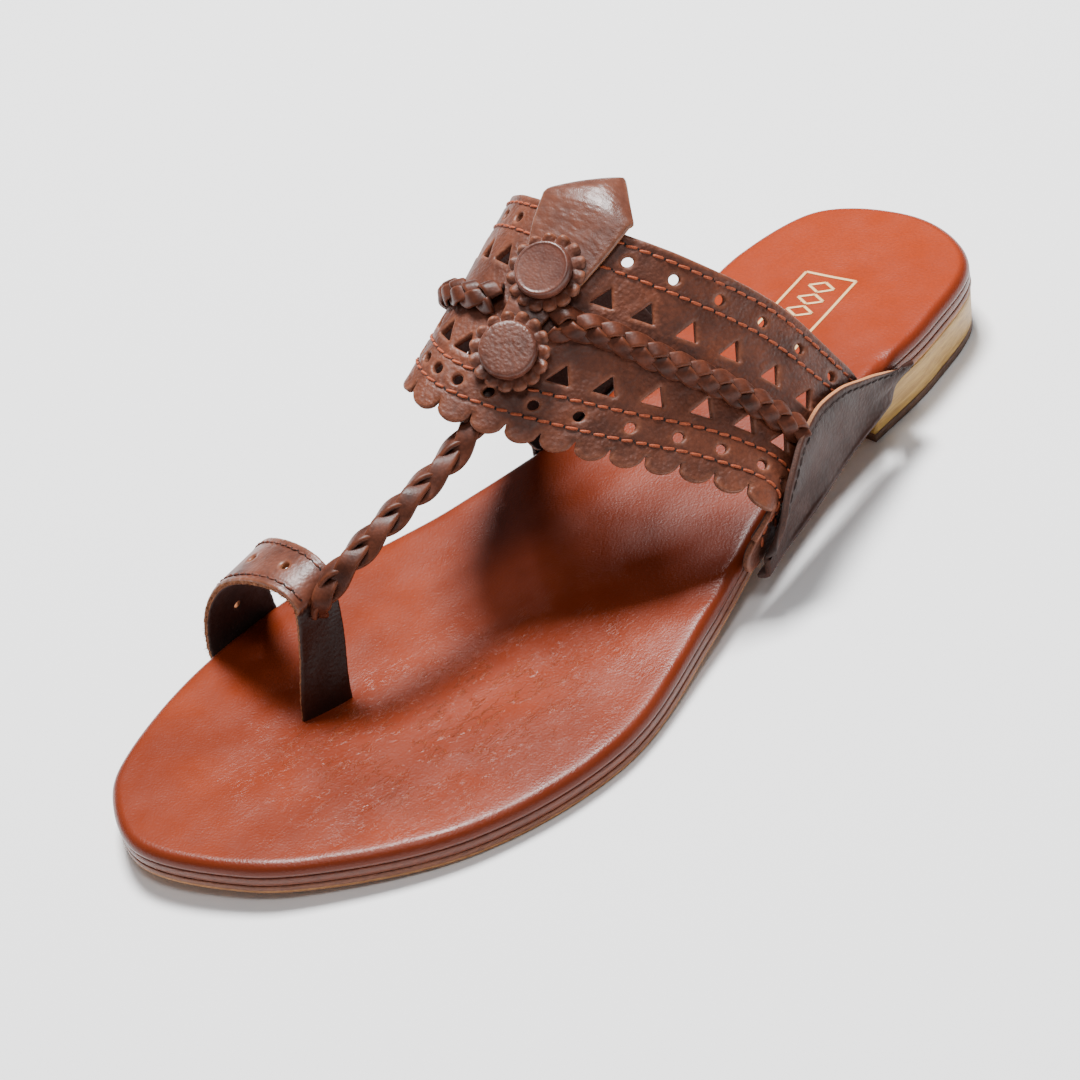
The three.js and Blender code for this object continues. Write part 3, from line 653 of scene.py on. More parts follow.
def layered_edge(name, dark, light, stretch, size=0.8, rough=0.75, bump=0.15):
    """A pressed leather edge or stacked heel, with grain along the sole."""
    n = Nodes(name)
    fibres = n.noise(size, 6.0, 0.65, n.stretched(stretch), 0.3)
    broad = n.noise(12.0, 3.0, 0.5, n.stretched(stretch))
    base = n.over(dark, fibres, 0.32, 0.68, light)
    base = n.over(base, broad, 0.4, 0.7, dark, 0.4)
    return n.finish(base, rough, n.bump(fibres, bump))


M_INSOLE = insole_material()
M_INSOLE_EDGE = layered_edge("insole_edge", (84, 36, 20), (120, 54, 32), (1, 3.5, 0.6), rough=0.3)
M_MIDSOLE = layered_edge("midsole_edge", (84, 38, 22), (124, 60, 36), (1, 3.5, 0.6), rough=0.3)
M_OUTSOLE_DYED = layered_edge("outsole_dyed", (92, 48, 29), (136, 78, 48), (1, 3.5, 0.6), rough=0.4)
M_OUTSOLE = layered_edge("outsole_natural", (126, 80, 46), (184, 130, 82), (1, 3.5, 0.6), rough=0.8)
M_HEEL = layered_edge("heel_stack", (150, 108, 46), (198, 158, 84), (1.2, 9.0, 0.7), size=1.0,
                      rough=0.42, bump=0.1)
M_RUBBER = layered_edge("heel_rubber", (72, 46, 31), (112, 76, 52), (1, 3.0, 1), rough=0.6)


def thread_material(name, dark, light):
    n = Nodes(name)
    twist = n.noise(0.35, 2.0, 0.6)
    base = n.over(dark, twist, 0.3, 0.7, light)
    # Darker towards each stitch's ends: painted shade where the thread sinks into its hole.
    base = n.over(base, n.field("tip"), 0.84, 1.0, (34, 17, 11), 0.8)
    return n.finish(base, 0.7, n.bump(twist, 0.08))


def hole_shade_material():
    n = Nodes("needle_hole_shade")
    fine = n.noise(0.6, 4.0)
    # A dark disc: painted shade for the needle hole's depth.
    dark = (22, 12, 9)
    return n.finish(n.over(dark, fine, 0.3, 0.7, colour(dark, 0.6), 0.35), 0.95, n.bump(fine, 0.05))


M_THREAD = thread_material("stitch_thread", (124, 50, 22), (176, 82, 40))
M_THREAD_DARK = thread_material("dark_thread", (30, 18, 15), (54, 32, 26))
M_THREAD_BROWN = thread_material("brown_thread", (76, 34, 20), (120, 58, 34))
M_HOLE_SHADE = hole_shade_material()


def gilt_material():
    n = Nodes("gilt_foil")
    flakes = n.noise(0.4, 4.0, 0.7)
    base = n.over((246, 206, 150), flakes, 0.35, 0.7, (226, 168, 110))
    return n.finish(base, 0.42, n.bump(flakes, 0.03))


M_GILT = gilt_material()


# ---------- sole ----------
def sole_layer(name, levels, materials, kind_of_level, slot, stands_for, columns, relief=None, fields=None):
    """Rings of the outline one above the other, closed by strips across the foot."""
    steps = 190
    size = 2 * steps
    shares = np.arange(size) / size
    points = []
    for inset, height in levels:
        p = outline_at(shares, inset)
        points.append(np.column_stack([p, height(p[:, 1])]))
    walls = len(levels) - 1
    faces = tube_faces(len(levels), size, False)
    kinds = np.repeat(kind_of_level[:walls], size).tolist()
    count = len(levels) * size
    rim = np.repeat(np.clip((walls - np.arange(len(levels))) / 2.4, 0, 1), size)
    for level, flip, kind in ((0, True, kind_of_level[0]), (walls, False, kind_of_level[-1])):
        start = level * size
        edge = points[level]
        rows = {}
        for i in range(1, steps):
            for w in np.arange(1, columns) / columns:
                points.append((edge[i] * (1 - w) + edge[size - i] * w)[None])
            rows[i] = [start + i, *range(count, count + columns - 1), start + size - i]
            count += columns - 1
        lid = [[rows[i][c], rows[i + 1][c], rows[i + 1][c + 1], rows[i][c + 1]]
               for i in range(1, steps - 1) for c in range(columns)]
        lid += [[start, rows[1][c], rows[1][c + 1]] for c in range(columns)]
        lid += [[rows[steps - 1][c + 1], rows[steps - 1][c], start + steps] for c in range(columns)]
        faces += [face[::-1] for face in lid] if flip else lid
        kinds += [kind] * len(lid)
    points = np.vstack(points)
    rim = np.concatenate([rim, np.zeros(len(points) - len(rim))])
    if relief is not None:
        points[:, 2] += relief(points)
    made_fields = {"rim": rim}
    if fields is not None:
        made_fields.update(fields(points))
    return add_mesh(name, points, faces, materials, kinds, made_fields, slot=slot, stands_for=stands_for)


def above(offset):
    return lambda y: sole_bottom(y) + offset


# Soft dents of the insole's cover: place, half sizes along and across, turn in degrees, and depth.
INSOLE_DENTS = [
    (-33.4, -78.6, 3.0, 2.0, 90, 0.8), (-33.8, -73.4, 2.2, 2.6, 90, -1.7),
    (-33.5, -65.0, 6.0, 1.6, 88, -0.5), (-31.0, -60.0, 6.0, 1.3, 80, 0.45),
    (-34.0, -52.0, 5.0, 1.2, 84, 0.35), (-46.5, 1.0, 6.0, 1.8, 72, -0.35),
    (-43.0, -4.0, 7.0, 1.5, 70, 0.3), (21.0, -52.0, 7.0, 1.6, 92, -0.4),
    (3.0, 72.5, 9.0, 3.0, 80, -0.7), (36.0, 64.0, 9.0, 2.4, 92, -0.3), (-10.0, 60.0, 30.0, 16.0, 60, -0.35),
    (-1.0, -95.0, 26.0, 18.0, 90, -0.4)]


def insole_relief(points):
    x, y, z = points.T
    height = np.zeros(len(points))
    for px, py, along, across, turn, depth in INSOLE_DENTS:
        c, s = math.cos(math.radians(turn)), math.sin(math.radians(turn))
        a, b = (x - px) * c + (y - py) * s, -(x - px) * s + (y - py) * c
        height += depth * np.exp(-(a / along) ** 2 - (b / across) ** 2)
    height += 0.07 * np.sin(x * 0.31 + y * 0.13) * np.sin(y * 0.23 - x * 0.07)
    level = sole_bottom(y) + INSOLE_TOP
    return height * np.clip(1 - (level - z) / 1.2, 0, 1)


def insole_fields(points):
    x, y = points.T[:2]
    forefoot = np.exp(-((x + 27) / 17) ** 2 - ((y - 56) / 28) ** 2)
    middle = np.exp(-((x + 6) / 12) ** 2 - ((y - 80) / 14) ** 2)
    return {"crease_and_glint": np.clip(1.2 * forefoot + 0.6 * middle, 0, 1), "seat": smooth_step((-30 - y) / 60)}


ROUND = 2.4
rounded = [(ROUND * (1 - math.cos(a)), above(INSOLE_TOP - ROUND * (1 - math.sin(a))))
           for a in np.linspace(0, math.pi / 2, 6)]
sole_layer("insole_cover", [(0.35, above(INSOLE_BASE)), (0.0, above(INSOLE_BASE + 0.35)), *rounded],
           [M_INSOLE_EDGE, M_INSOLE], [0, 0, 1, 1, 1, 1, 1, 1], "insole_leather", ["insole"], columns=44,
           relief=insole_relief, fields=insole_fields)
sole_layer("midsole_layer", [(0.35, above(MIDSOLE_BASE - 0.24)), (0.12, above(MIDSOLE_BASE + 0.1)),
                             (0.02, above(MIDSOLE_BASE + 0.85)), (0.12, above(MIDSOLE_BASE + 1.6)),
                             (0.35, above(MIDSOLE_BASE + MIDSOLE + 0.24))],
           [M_MIDSOLE], [0, 0, 0, 0], "midsole_leather", ["midsole"], columns=6)
sole_layer("outsole_layer", [(0.8, above(0)), (0.2, above(0.25)), (0.0, above(0.95)), (0.05, above(1.5)),
                             (0.12, above(1.85)), (0.3, above(2.0))],
           [M_OUTSOLE, M_OUTSOLE_DYED], [0, 0, 1, 1, 1], "outsole_leather", ["outsole"], columns=10)


def level_at(height):
    return lambda y: 0 * y + height


def heel_part(name, levels, materials, slot, stands_for):
    """A slice of the heel: the outline behind the breast, closed by a flat front face."""
    steps, columns = 120, 40
    inner, outer = share_at_y("inner", BREAST_Y), share_at_y("outer", BREAST_Y)
    shares = np.linspace(outer - 1, inner, steps)
    points = []
    for inset, height in levels:
        p = outline_at(shares, inset)
        p[0, 1] = p[-1, 1] = BREAST_Y
        front = p[-1] + (p[0] - p[-1]) * (np.arange(1, columns) / columns)[:, None]
        p = np.vstack([p, front])
        points.append(np.column_stack([p, height(p[:, 1])]))
    faces = tube_faces(len(levels), len(points[0]))
    return add_mesh(name, np.vstack(points), faces, materials, slot=slot, stands_for=stands_for)


def heel_inset(z):
    return HEEL_FOOT_INSET + (HEEL_HEAD_INSET - HEEL_FOOT_INSET) * z / SEAT_LIFT


def heel_level(share):
    low = TOP_PIECE + 0.05
    return lambda y: low + (sole_bottom(y) - 0.05 - low) * share


heel_part("heel_block_stack", [(heel_inset(2.3) + 0.25, heel_level(0)), (heel_inset(2.5), heel_level(0.03)),
                               *[(heel_inset(2.5 + 9 * s), heel_level(s)) for s in (0.25, 0.5, 0.75, 0.97)],
                               (HEEL_HEAD_INSET + 0.25, heel_level(1.0))],
          [M_HEEL], "heel_stack", ["heel_block"])
heel_part("heel_top_layer", [(1.35, level_at(0)), (1.15, level_at(0.3)), (1.05, level_at(1.9)),
                             (1.3, level_at(TOP_PIECE))],
          [M_RUBBER], "heel_rubber", ["heel_top_piece"])


# ---------- stitches ----------
STITCH_LIFT = 0.05
STITCH_SLANT = 6.0  # degrees off the row


def stitch_line(batch, centre, normal, pitch=3.0, length=2.75, radius=0.33, kind=0):
    """Stitches along a dense line on a face, with a dark disc at each end as painted shade for the needle
    hole.
    """
    s = lengths_of(centre)
    count = int((s[-1] - 0.5) // pitch)
    first = (s[-1] - (count - 1) * pitch) / 2 if count else 0
    stations = np.array([-1.0, -0.86, -0.5, 0.0, 0.5, 0.86, 1.0])
    swell = np.array([0.35, 0.72, 0.97, 1.0, 0.97, 0.72, 0.35])
    sides = 7
    angles = turns(sides)
    for k in range(count):
        middle = first + k * pitch + RANDOM.normal(0, 0.08)
        size = length * (1 + RANDOM.normal(0, 0.05))
        at = middle + stations * size / 2
        p = placed_at(at, s, centre)
        n = unit(placed_at(at, s, normal))
        t = unit(p[-1] - p[0])
        across = unit(np.cross(n, t))
        slant = math.tan(math.radians(STITCH_SLANT + RANDOM.normal(0, 2.0)))
        p = p + across * (stations * size / 2 * slant)[:, None]
        rise = STITCH_LIFT + 0.30 * (1 - stations ** 4) - 0.25
        p = p + n * rise[:, None]
        cos, sin = np.cos(angles)[:, None], np.sin(angles)[:, None]
        rings = [p[i] + swell[i] * radius * (cos * across[i] + sin * n[i]) for i in range(len(stations))]
        # How far along the stitch each ring is; the thread material paints shade near the ends.
        tips = np.repeat(np.abs(stations), sides)
        batch.add(np.vstack(rings), tube_faces(len(stations), sides), kind, tips)
        for end in (-1, 1):
            i = 0 if end < 0 else -1
            # Each end gets a dark disc, painted shade for its needle hole.
            hole = p[i] - n[i] * rise[i] + t * end * 0.10 + n[i] * 0.05
            rim = hole + 0.23 * (cos * t + sin * across[i])
            fan = [(j, (j + 1) % sides, sides) for j in range(sides)]
            batch.add(np.vstack([rim, hole + n[i] * 0.02]), fan, 1)


def stitch_rows(flat, rows, **more):
    """Stitches along flat rows, drawn a little into the leather's face."""
    for q in rows:
        normal = flat.normal(q)
        stitch_line(stitches, flat.point(q) + normal * (WALL / 2) - normal * 0.1, normal, **more)


def groove(q, rows, width=0.75):
    """Soft troughs where rows of stitches pull the leather in."""
    depth = 0.2
    height = np.zeros(len(q))
    for row in rows:
        b = np.interp(q[:, 0], row[:, 0], row[:, 1], left=1e6, right=1e6)
        height -= depth * np.exp(-((q[:, 1] - b) / width) ** 2)
    return height


def circle(radius):
    a = -turns(18)
    return radius * np.stack([np.cos(a), np.sin(a)], 1)


def triangle(width, height):
    """A cut-out with its point to the rear and softly rounded corners."""
    rounding = 0.3
    corners = np.array([(-width / 2, -height / 2), (0, height / 2), (width / 2, -height / 2)])
    loop = []
    for k in range(3):
        a, b, c = corners[k - 1], corners[k], corners[(k + 1) % 3]
        u, w = unit(a - b), unit(c - b)
        for t in (0.0, 0.5, 1.0):
            loop.append(b + rounding * ((1 - t) ** 2 * u + t ** 2 * w))
        for share in (0.3, 0.5, 0.7):
            loop.append(b + (c - b) * share)
    return np.array(loop)


# ---------- vamp ----------
flat_vamp = Flat(vamp, VAMP_WIDTH)


def vamp_border():
    steps_per_scallop = 14
    dense = np.linspace(0, 1, 2000)
    length = lengths_of(vamp_front(dense))
    k = np.arange(SCALLOPS * steps_per_scallop + 1)
    u = np.interp(k / k[-1] * length[-1], length, dense)
    phase = (k % steps_per_scallop) / steps_per_scallop
    lobe = np.sqrt(np.clip(1 - (2 * phase - 1) ** 2, 0, 1)) ** 0.9
    v = SCALLOP_DEPTH * (1 - lobe) / flat_vamp.width_at(u)
    front = np.stack([flat_vamp.a_of(u), v * VAMP_WIDTH], 1)
    a = np.arange(flat_vamp.length, 0, -0.9)
    rear = np.stack([a, np.full_like(a, VAMP_WIDTH)], 1)
    left = np.stack([np.zeros(40), np.linspace(VAMP_WIDTH, front[0, 1], 42)[1:-1]], 1)
    right = np.stack([np.full(40, flat_vamp.length), np.linspace(front[-1, 1], VAMP_WIDTH, 42)[1:-1]], 1)
    return np.vstack([front, right, rear, left])


def width_share(u, mm):
    """A distance across the vamp at u, as a share of its width there."""
    return float(mm / flat_vamp.width_at(np.array([u]))[0])


# Places of the cut-outs along the vamp, as shares of its length.
FRONT_HOLES = [0.130, 0.172, 0.216, 0.263, 0.304, 0.344, 0.388, 0.429, 0.478, 0.524, 0.566, 0.606, 0.650,
               0.694, 0.740, 0.785]
REAR_HOLES = [0.135, 0.182, 0.232, 0.277, 0.322, 0.369, 0.420, 0.600, 0.645, 0.690, 0.738, 0.785, 0.830]
REAR_TRIANGLES = [0.202, 0.246, 0.292, 0.334, 0.378, 0.421, 0.578, 0.630, 0.678, 0.724, 0.768]
FRONT_TRIANGLES = [0.206, 0.250, 0.294, 0.336, 0.378, 0.420, 0.546, 0.598, 0.646, 0.690, 0.732]

vamp_holes = []
for shares, edge, mm, shape in ((FRONT_HOLES, 0, 8.9, circle(1.2)), (REAR_HOLES, 1, 5.4, circle(1.2)),
                                (REAR_TRIANGLES, 1, 14.0, triangle(5.0, 4.4)),
                                (FRONT_TRIANGLES, 0, 17.0, triangle(5.0, 4.4))):
    for u in shares:
        from_edge = width_share(u, mm)
        vamp_holes.append(flat_vamp.local(u, 1 - from_edge if edge else from_edge, shape))
vamp_rows = [flat_vamp.row(0.03, 0.97, **place) for place in ({"front": 6.0}, {"front": 12.1},
                                                              {"rear": 2.1}, {"rear": 8.2})]


def vamp_relief(q, near):
    """Stitch troughs, a slight lift round each cut-out and soft waves of the hide."""
    height = groove(q, vamp_rows)
    a, b = q.T
    height += 0.10 * np.sin(a * 0.33 + 1.0) * np.sin(b * 0.21) + 0.05 * np.sin(a * 0.9 + b * 0.4)
    lobes = np.clip(1 - b / 5.0, 0, 1)
    height += 0.14 * lobes * np.cos(a * 2 * math.pi / (flat_vamp.length / SCALLOPS))
    height += 0.12 * np.exp(-((near - 0.9) / 0.5) ** 2) * (b > 7)
    return height


cut_sheet("vamp_leather", flat_vamp, vamp_border(), vamp_holes, 1.05, WALL, vamp_relief,
          [M_UPPER, M_LINING, M_EDGE], slot="upper_leather", stands_for=["upper"])

stitches = Batch()
stitch_rows(flat_vamp, vamp_rows)

# ---------- toe ring ----------
flat_ring = Flat(ring, RING_WIDTH, sign=-1)
FOLD = 0.768
FOLD_AT = float(flat_ring.a_of(FOLD))


def ring_border():
    a = np.arange(0, flat_ring.length, 0.5)
    ragged = 0.10 * np.sin(a * 2.3) * np.sin(a * 0.71 + 1) + 0.06 * np.sin(a * 5.1)
    front = np.stack([a, ragged], 1)
    rear = np.stack([a[::-1], RING_WIDTH - ragged[::-1] * 0.5], 1)
    right = np.stack([np.full(12, flat_ring.length), np.linspace(0, RING_WIDTH, 14)[1:-1]], 1)
    left = right[::-1] * [0, 1]
    return np.vstack([front, right, rear, left])


RING_HOLES = [0.27, 0.385, 0.50, 0.615]
ring_holes = [flat_ring.local(u, 0.5, circle(0.95)) for u in RING_HOLES]
ring_rows = [flat_ring.row(0.12, FOLD - 0.012, front=1.9), flat_ring.row(0.12, FOLD - 0.012, rear=1.7)]


def ring_relief(q, near):
    """Stitch troughs, soft waves, and the step where the band ends over the post, which is painted dark as
    shade.
    """
    a, b = q.T
    height = groove(q, ring_rows, 0.6)
    height += 0.08 * np.sin(a * 0.4) * np.sin(b * 0.35 + 0.4)
    height += 0.12 * np.exp(-((near - 0.9) / 0.5) ** 2) * (b > 3) * (b < 13)
    step = smooth_step((a - FOLD_AT) / 0.35)
    height += 0.22 * np.exp(-((a - FOLD_AT + 0.9) / 0.8) ** 2) * (1 - step)
    return height - 0.42 * step + 0.03 * step * np.sin(b * 0.8 + a * 0.12)


def ring_fields(q, edge):
    a = q[:, 0]
    lip = 0.9 * np.exp(-((a - FOLD_AT + 0.05) / 0.28) ** 2)
    # Past the fold the band is painted dark as shade, down the post under the ring.
    return {"edge": np.maximum(edge, lip), "post_shade": -0.86 * smooth_step((a - FOLD_AT - 0.1) / 0.3)}


cut_sheet("toe_ring_leather", flat_ring, ring_border(), ring_holes, 0.9, WALL, ring_relief,
          [M_RING, M_LINING, M_EDGE_TAN], fields=ring_fields, slot="upper_leather")
stitch_rows(flat_ring, ring_rows, pitch=2.6, length=1.9, radius=0.26, kind=3)


def fibres(batch, start, way, count, longest):
    """Loose fibres at a raw edge, as thin bent spikes."""
    for k in RANDOM.integers(0, len(start), count):
        side = unit(RANDOM.normal(0, 1, 3))
        reach = longest * RANDOM.uniform(0.3, 1) ** 2
        root = start[k] + side * 0.25
        bend = unit(way[k] + side * RANDOM.uniform(0.3, 1.2))
        tip = root + way[k] * reach * 0.4 + bend * reach * 0.6
        a = unit(np.cross(bend, [0.3, 0.5, 0.8]))
        b = np.cross(bend, a)
        width = 0.07
        batch.add([root + a * width, root - a * width * 0.5 + b * width, root - a * width * 0.5 - b * width,
                   (root + tip) / 2 + side * 0.08 + a * 0.04, (root + tip) / 2 + side * 0.08 - a * 0.04, tip],
                  [(0, 1, 2), (0, 3, 4, 1), (1, 4, 2), (2, 4, 3, 0), (3, 5, 4), (4, 5, 3)])


fuzz = Batch()
front_edge = np.stack([np.linspace(2, FOLD_AT, 260), np.zeros(260)], 1)
outwards = unit(flat_ring.point(front_edge) - flat_ring.point(front_edge + [0, 1.0]))
fibres(fuzz, flat_ring.point(front_edge), outwards, 420, 1.3)
fuzz.make("ring_edge_fibres", [M_EDGE_TAN], slot="upper_leather")


# ---------- plaits ----------
def strip_section(width, thickness):
    """A flat strip's section with rounded edges and a slightly domed face."""
    a = turns(16)
    x = np.sign(np.cos(a)) * np.abs(np.cos(a)) ** 0.55 * width / 2
    y = np.sign(np.sin(a)) * np.abs(np.sin(a)) ** 0.6 * thickness / 2
    return x, y


def plait(name, path, side, up, period, width, strip, thickness, slot, step=0.45, stands_for=(), start=0.0,
          close=0.0, roll=0.45, flare=0.0):
    """Three flat strips plaited along a dense path."""
    s = lengths_of(path)
    at = np.arange(0, s[-1], step)
    line = placed_at(at, s, path)
    side, up = unit(placed_at(at, s, side)), unit(placed_at(at, s, up))
    x, y = strip_section(strip, thickness)
    batch = Batch()
    reach = (width - strip) / 2
    ease = np.ones(len(at))
    if close:
        ease = np.clip((s[-1] - at) / close, 0.35, 1)
    spread = ease * (1 + flare * np.exp(-(at / 4.0) ** 2))
    for k in range(3):
        phase = 2 * math.pi * (at / period + k / 3) + start
        centre = (line + side * (reach * spread * np.sin(phase))[:, None]
                  + up * (0.62 * thickness * np.sin(2 * phase))[:, None])
        way = unit(np.gradient(centre, axis=0))
        tilt = roll * np.sin(phase)
        face = unit(up * np.cos(tilt)[:, None] + side * np.sin(tilt)[:, None])
        across = unit(np.cross(way, face))
        face = unit(np.cross(across, way))
        rings = (centre[:, None] + x[None, :, None] * across[:, None] * ease[:, None, None] ** 0.5
                 + y[None, :, None] * face[:, None])
        # -1 on each strip's underside, painted dark there as shade; towards the upper face's side edges it
        # rises to 1 for worn edges.
        edge = np.tile(np.where(y < -0.2 * thickness, -1.0, (np.abs(x) / np.abs(x).max()) ** 4), len(at))
        batch.add(rings.reshape(-1, 3), tube_faces(len(at), len(x)), 0, edge)
    return batch.make(name, [M_PLAIT], slot=slot, stands_for=stands_for)


shares = np.linspace(0, 1, 400)
t_path = spline(T_STRAP)(shares)
t_way = unit(np.gradient(t_path, axis=0))
t_side = np.tile([1.0, 0.0, 0.0], (400, 1))
t_side = unit(t_side - t_way * (t_side * t_way).sum(1)[:, None])
t_up = np.cross(t_side, t_way)
t_up *= np.sign(t_up[:, 2:3])
plait("t_strap_plait", t_path, t_side, t_up, 28.0, 8.0, 4.6, 1.5, "plait_leather", close=4.0, roll=0.6)


def vamp_plait(name, spots, lift=2.0, count=300, **more):
    """A plait that lies along a route on the vamp."""
    u, v = spline(spots)(np.linspace(0, 1, count)).T
    path = on_vamp(u, v, np.full(count, lift))
    normal = surface_normal(vamp, u, v)
    side = unit(np.cross(normal, unit(np.gradient(path, axis=0))))
    plait(name, path, side, normal, 15.5, 7.2, 3.6, 1.3, "plait_leather", roll=0.7, **more)


vamp_plait("outer_plait", OUTER_BRAID, flare=0.7, stands_for=["outer_braid"])
vamp_plait("inner_plait", INNER_BRAID, flare=0.5, stands_for=["inner_braid"], start=1.0)


# ---------- medallions ----------
def vamp_frame(u, v):
    """Origin and axes on the vamp: across it, towards the rear and outwards."""
    u, v = np.array([u]), np.array([v])
    normal = surface_normal(vamp, u, v)[0]
    across = unit(vamp(u + 0.004, v) - vamp(u - 0.004, v))[0]
    along = np.cross(normal, across)
    return vamp(u, v)[0], across, along, normal


def seat(points, spot, height):
    origin, across, along, normal = vamp_frame(*spot)
    p = np.asarray(points)
    return origin + p[:, :1] * across + p[:, 1:2] * along + (WALL / 2 + height + p[:, 2:3]) * normal


def sagged(points, spot):
    """Bends flat points towards the vamp's own curve."""
    origin, _, _, normal = vamp_frame(*spot)
    h = 0.01
    step_u = np.linalg.norm(vamp(spot[0] + h, spot[1]) - vamp(spot[0] - h, spot[1])) / (2 * h)
    step_v = np.linalg.norm(vamp(spot[0], spot[1] + h) - vamp(spot[0], spot[1] - h)) / (2 * h)
    p = np.array(points, float)
    under = vamp(spot[0] + p[:, 0] / step_u, spot[1] + p[:, 1] / step_v)
    p[:, 2] += 0.8 * np.minimum(((under - origin) * normal).sum(1), 0)
    return p


def disc(name, spot, stands_for, turn):
    """A scalloped leather rosette with a soft dome on each lobe."""
    around, rings_out = DISC_LOBES * 14, 22
    angle = turns(around)
    lobe = np.abs(np.sin((angle + turn) * DISC_LOBES / 2))
    edge = DISC_RADIUS - 0.7 + 1.1 * np.sqrt(lobe) + 0.15 * np.sin(3 * angle + turn * 9)
    top, bottom = [], []
    for k in range(1, rings_out + 1):
        share = k / rings_out
        outer = smooth_step((share - 0.68) / 0.3)
        radius = (DISC_RADIUS * (1 - outer) + edge * outer) * share
        rim = np.clip((share - 0.93) / 0.07, 0, 1) ** 2
        lift = 0.75 * lobe - 0.28 + 0.16 * np.sin(2 * angle + turn * 20)
        height = DISC_THICKNESS * (0.62 + lift * outer) - 0.45 * rim
        top.append(np.stack([radius * np.cos(angle), radius * np.sin(angle), height], 1))
        low = 0.3 * rim + 0.55 * np.maximum(lift, 0) * outer
        bottom.append(np.stack([radius * np.cos(angle), radius * np.sin(angle), low], 1))
    top = np.vstack([[[0, 0, DISC_THICKNESS * 0.62]], *top])
    bottom = np.vstack([[[0, 0, 0]], *bottom])
    start = 1 + (rings_out - 1) * around
    rim = [(start + k, start + (k + 1) % around) for k in range(around)]
    faces = [[0, 1 + k, 1 + (k + 1) % around] for k in range(around)]
    faces += [[b + 1, a + 1, d + 1, c + 1] for a, b, c, d in tube_faces(rings_out, around, False)]
    fields = {"edge": smooth_step(np.hypot(top[:, 0], top[:, 1]) - 7.4)}
    top, bottom = [seat(sagged(face, spot), spot, DISC_SEAT) for face in (top, bottom)]
    return two_faced(name, top, bottom, faces, rim, [M_UPPER, M_LINING, M_EDGE], fields,
                     slot="medallion_leather", stands_for=stands_for)


def button(name, spot, profile, material, stands_for):
    """A covered button turned from its profile, a little uneven."""
    curve = spline(profile)(np.linspace(0, 1, 46))
    around = 72
    angle = turns(around)
    round_it = np.stack([np.cos(angle), np.sin(angle)], 1) * BUTTON_RADIUS
    points = [np.column_stack([r * round_it, h * BUTTON_HEIGHT + 0.06 * r ** 3 * np.sin(angle * 2 + 1)])
              for r, h in curve[1:-1]]
    count = len(points)
    points = np.vstack([[[0, 0, 0]], *points, [[0, 0, curve[-1][1] * BUTTON_HEIGHT]]])
    faces = [[k + 1 for k in f] for f in tube_faces(count, around, False)]
    last = 1 + (count - 1) * around
    for k in range(around):
        j = (k + 1) % around
        faces += [[0, 1 + j, 1 + k], [last + k, last + j, len(points) - 1]]
    return add_mesh(name, seat(points, spot, BUTTON_SEAT), faces, [material],
                    slot="medallion_leather", stands_for=stands_for)


BUTTON_SIDE = [(0.001, 0), (0.5, 0.0), (0.92, 0.0), (1.0, 0.15), (1.02, 0.5)]
PEBBLED = [*BUTTON_SIDE, (0.99, 0.86), (0.93, 1.02), (0.80, 1.08), (0.55, 1.10), (0.28, 1.11), (0.001, 1.11)]
RIMMED = [*BUTTON_SIDE, (0.99, 0.84), (0.95, 1.0), (0.89, 1.04), (0.82, 0.98), (0.6, 0.96), (0.3, 0.95),
          (0.001, 0.95)]
disc("front_rosette", FRONT_MEDALLION, ["front_disc"], 0.05)
disc("rear_rosette", REAR_MEDALLION, ["rear_disc"], 0.12)
button("front_cover_button", FRONT_MEDALLION, PEBBLED, M_BUTTON_GRAINED, ["front_button"])
button("rear_cover_button", REAR_MEDALLION, RIMMED, M_BUTTON_SMOOTH, ["rear_button"])


# ---------- centre tab ----------
def tab_grid(columns=41, rows=110):
    place = spline(TAB)
    offset = np.linspace(-1, 1, columns)[:, None]
    share = np.linspace(0, 1, rows)[None, :]
    p = place(np.minimum(share / TAB_ON_VAMP, 1))
    u = p[..., 0] + offset * p[..., 2]
    v = np.broadcast_to(p[..., 1], u.shape)
    spot = on_vamp(u, v, np.full(u.shape, GAP + FLAP_WALL / 2))
    past = np.broadcast_to(np.maximum(share - TAB_ON_VAMP, 0) / (1 - TAB_ON_VAMP), u.shape)
    reach = TAB_OVERHANG - TAB_CORNER_BACK * np.abs(offset) ** TAB_POINT_SHAPE
    rearwards = unit(vamp_rear(u) - vamp_front(u))
    level = unit(rearwards * [1, 1, 0])
    way = unit(rearwards + (level - rearwards) * past[..., None])
    return spot + way * (past * reach)[..., None]


tab_middle = tab_grid()
c, r = np.meshgrid(np.linspace(-1, 1, 41), np.linspace(0, 1, 110), indexing="ij")
tab_relief = 0.02 * np.sin(r * 60 + 2 * np.sin(c * 3)) + 0.05 * np.sin(c * 4 + r * 6)
grid_sheet("centre_tab_leather", tab_middle, FLAP_WALL, [M_LINING, M_TAB, M_EDGE_TAN], relief=-tab_relief,
           slot="upper_leather", stands_for=["centre_tab"])


# ---------- side flaps ----------
def flap_grid(side, rows_table, columns=110, rows=44):
    top = spline([row[0] for row in rows_table])(np.linspace(0, 1, columns))
    sole_y = spline([(row[1], 0, 0) for row in rows_table])(np.linspace(0, 1, columns))[:, 0]
    share = share_at_y(side, sole_y)
    level = OUTSOLE + GAP + FLAP_WALL / 2
    made = []
    for i in range(columns):
        def at(inset, lift):
            p = outline_at(share[i], inset)
            return np.array([p[0], p[1], float(sole_bottom(sole_y[i])) + lift])
        belly = at(-FLAP_BELLY_REACH, FLAP_BELLY_LIFT)
        section = [at(TUCK, level), at(-FLAP_EDGE_REACH, level), belly,
                   belly + (top[i] - belly) * FLAP_SHOULDER, top[i]]
        made.append(spline(section)(np.linspace(0.12, 1, rows)))
    return clear_of_vamp(np.array(made), side)


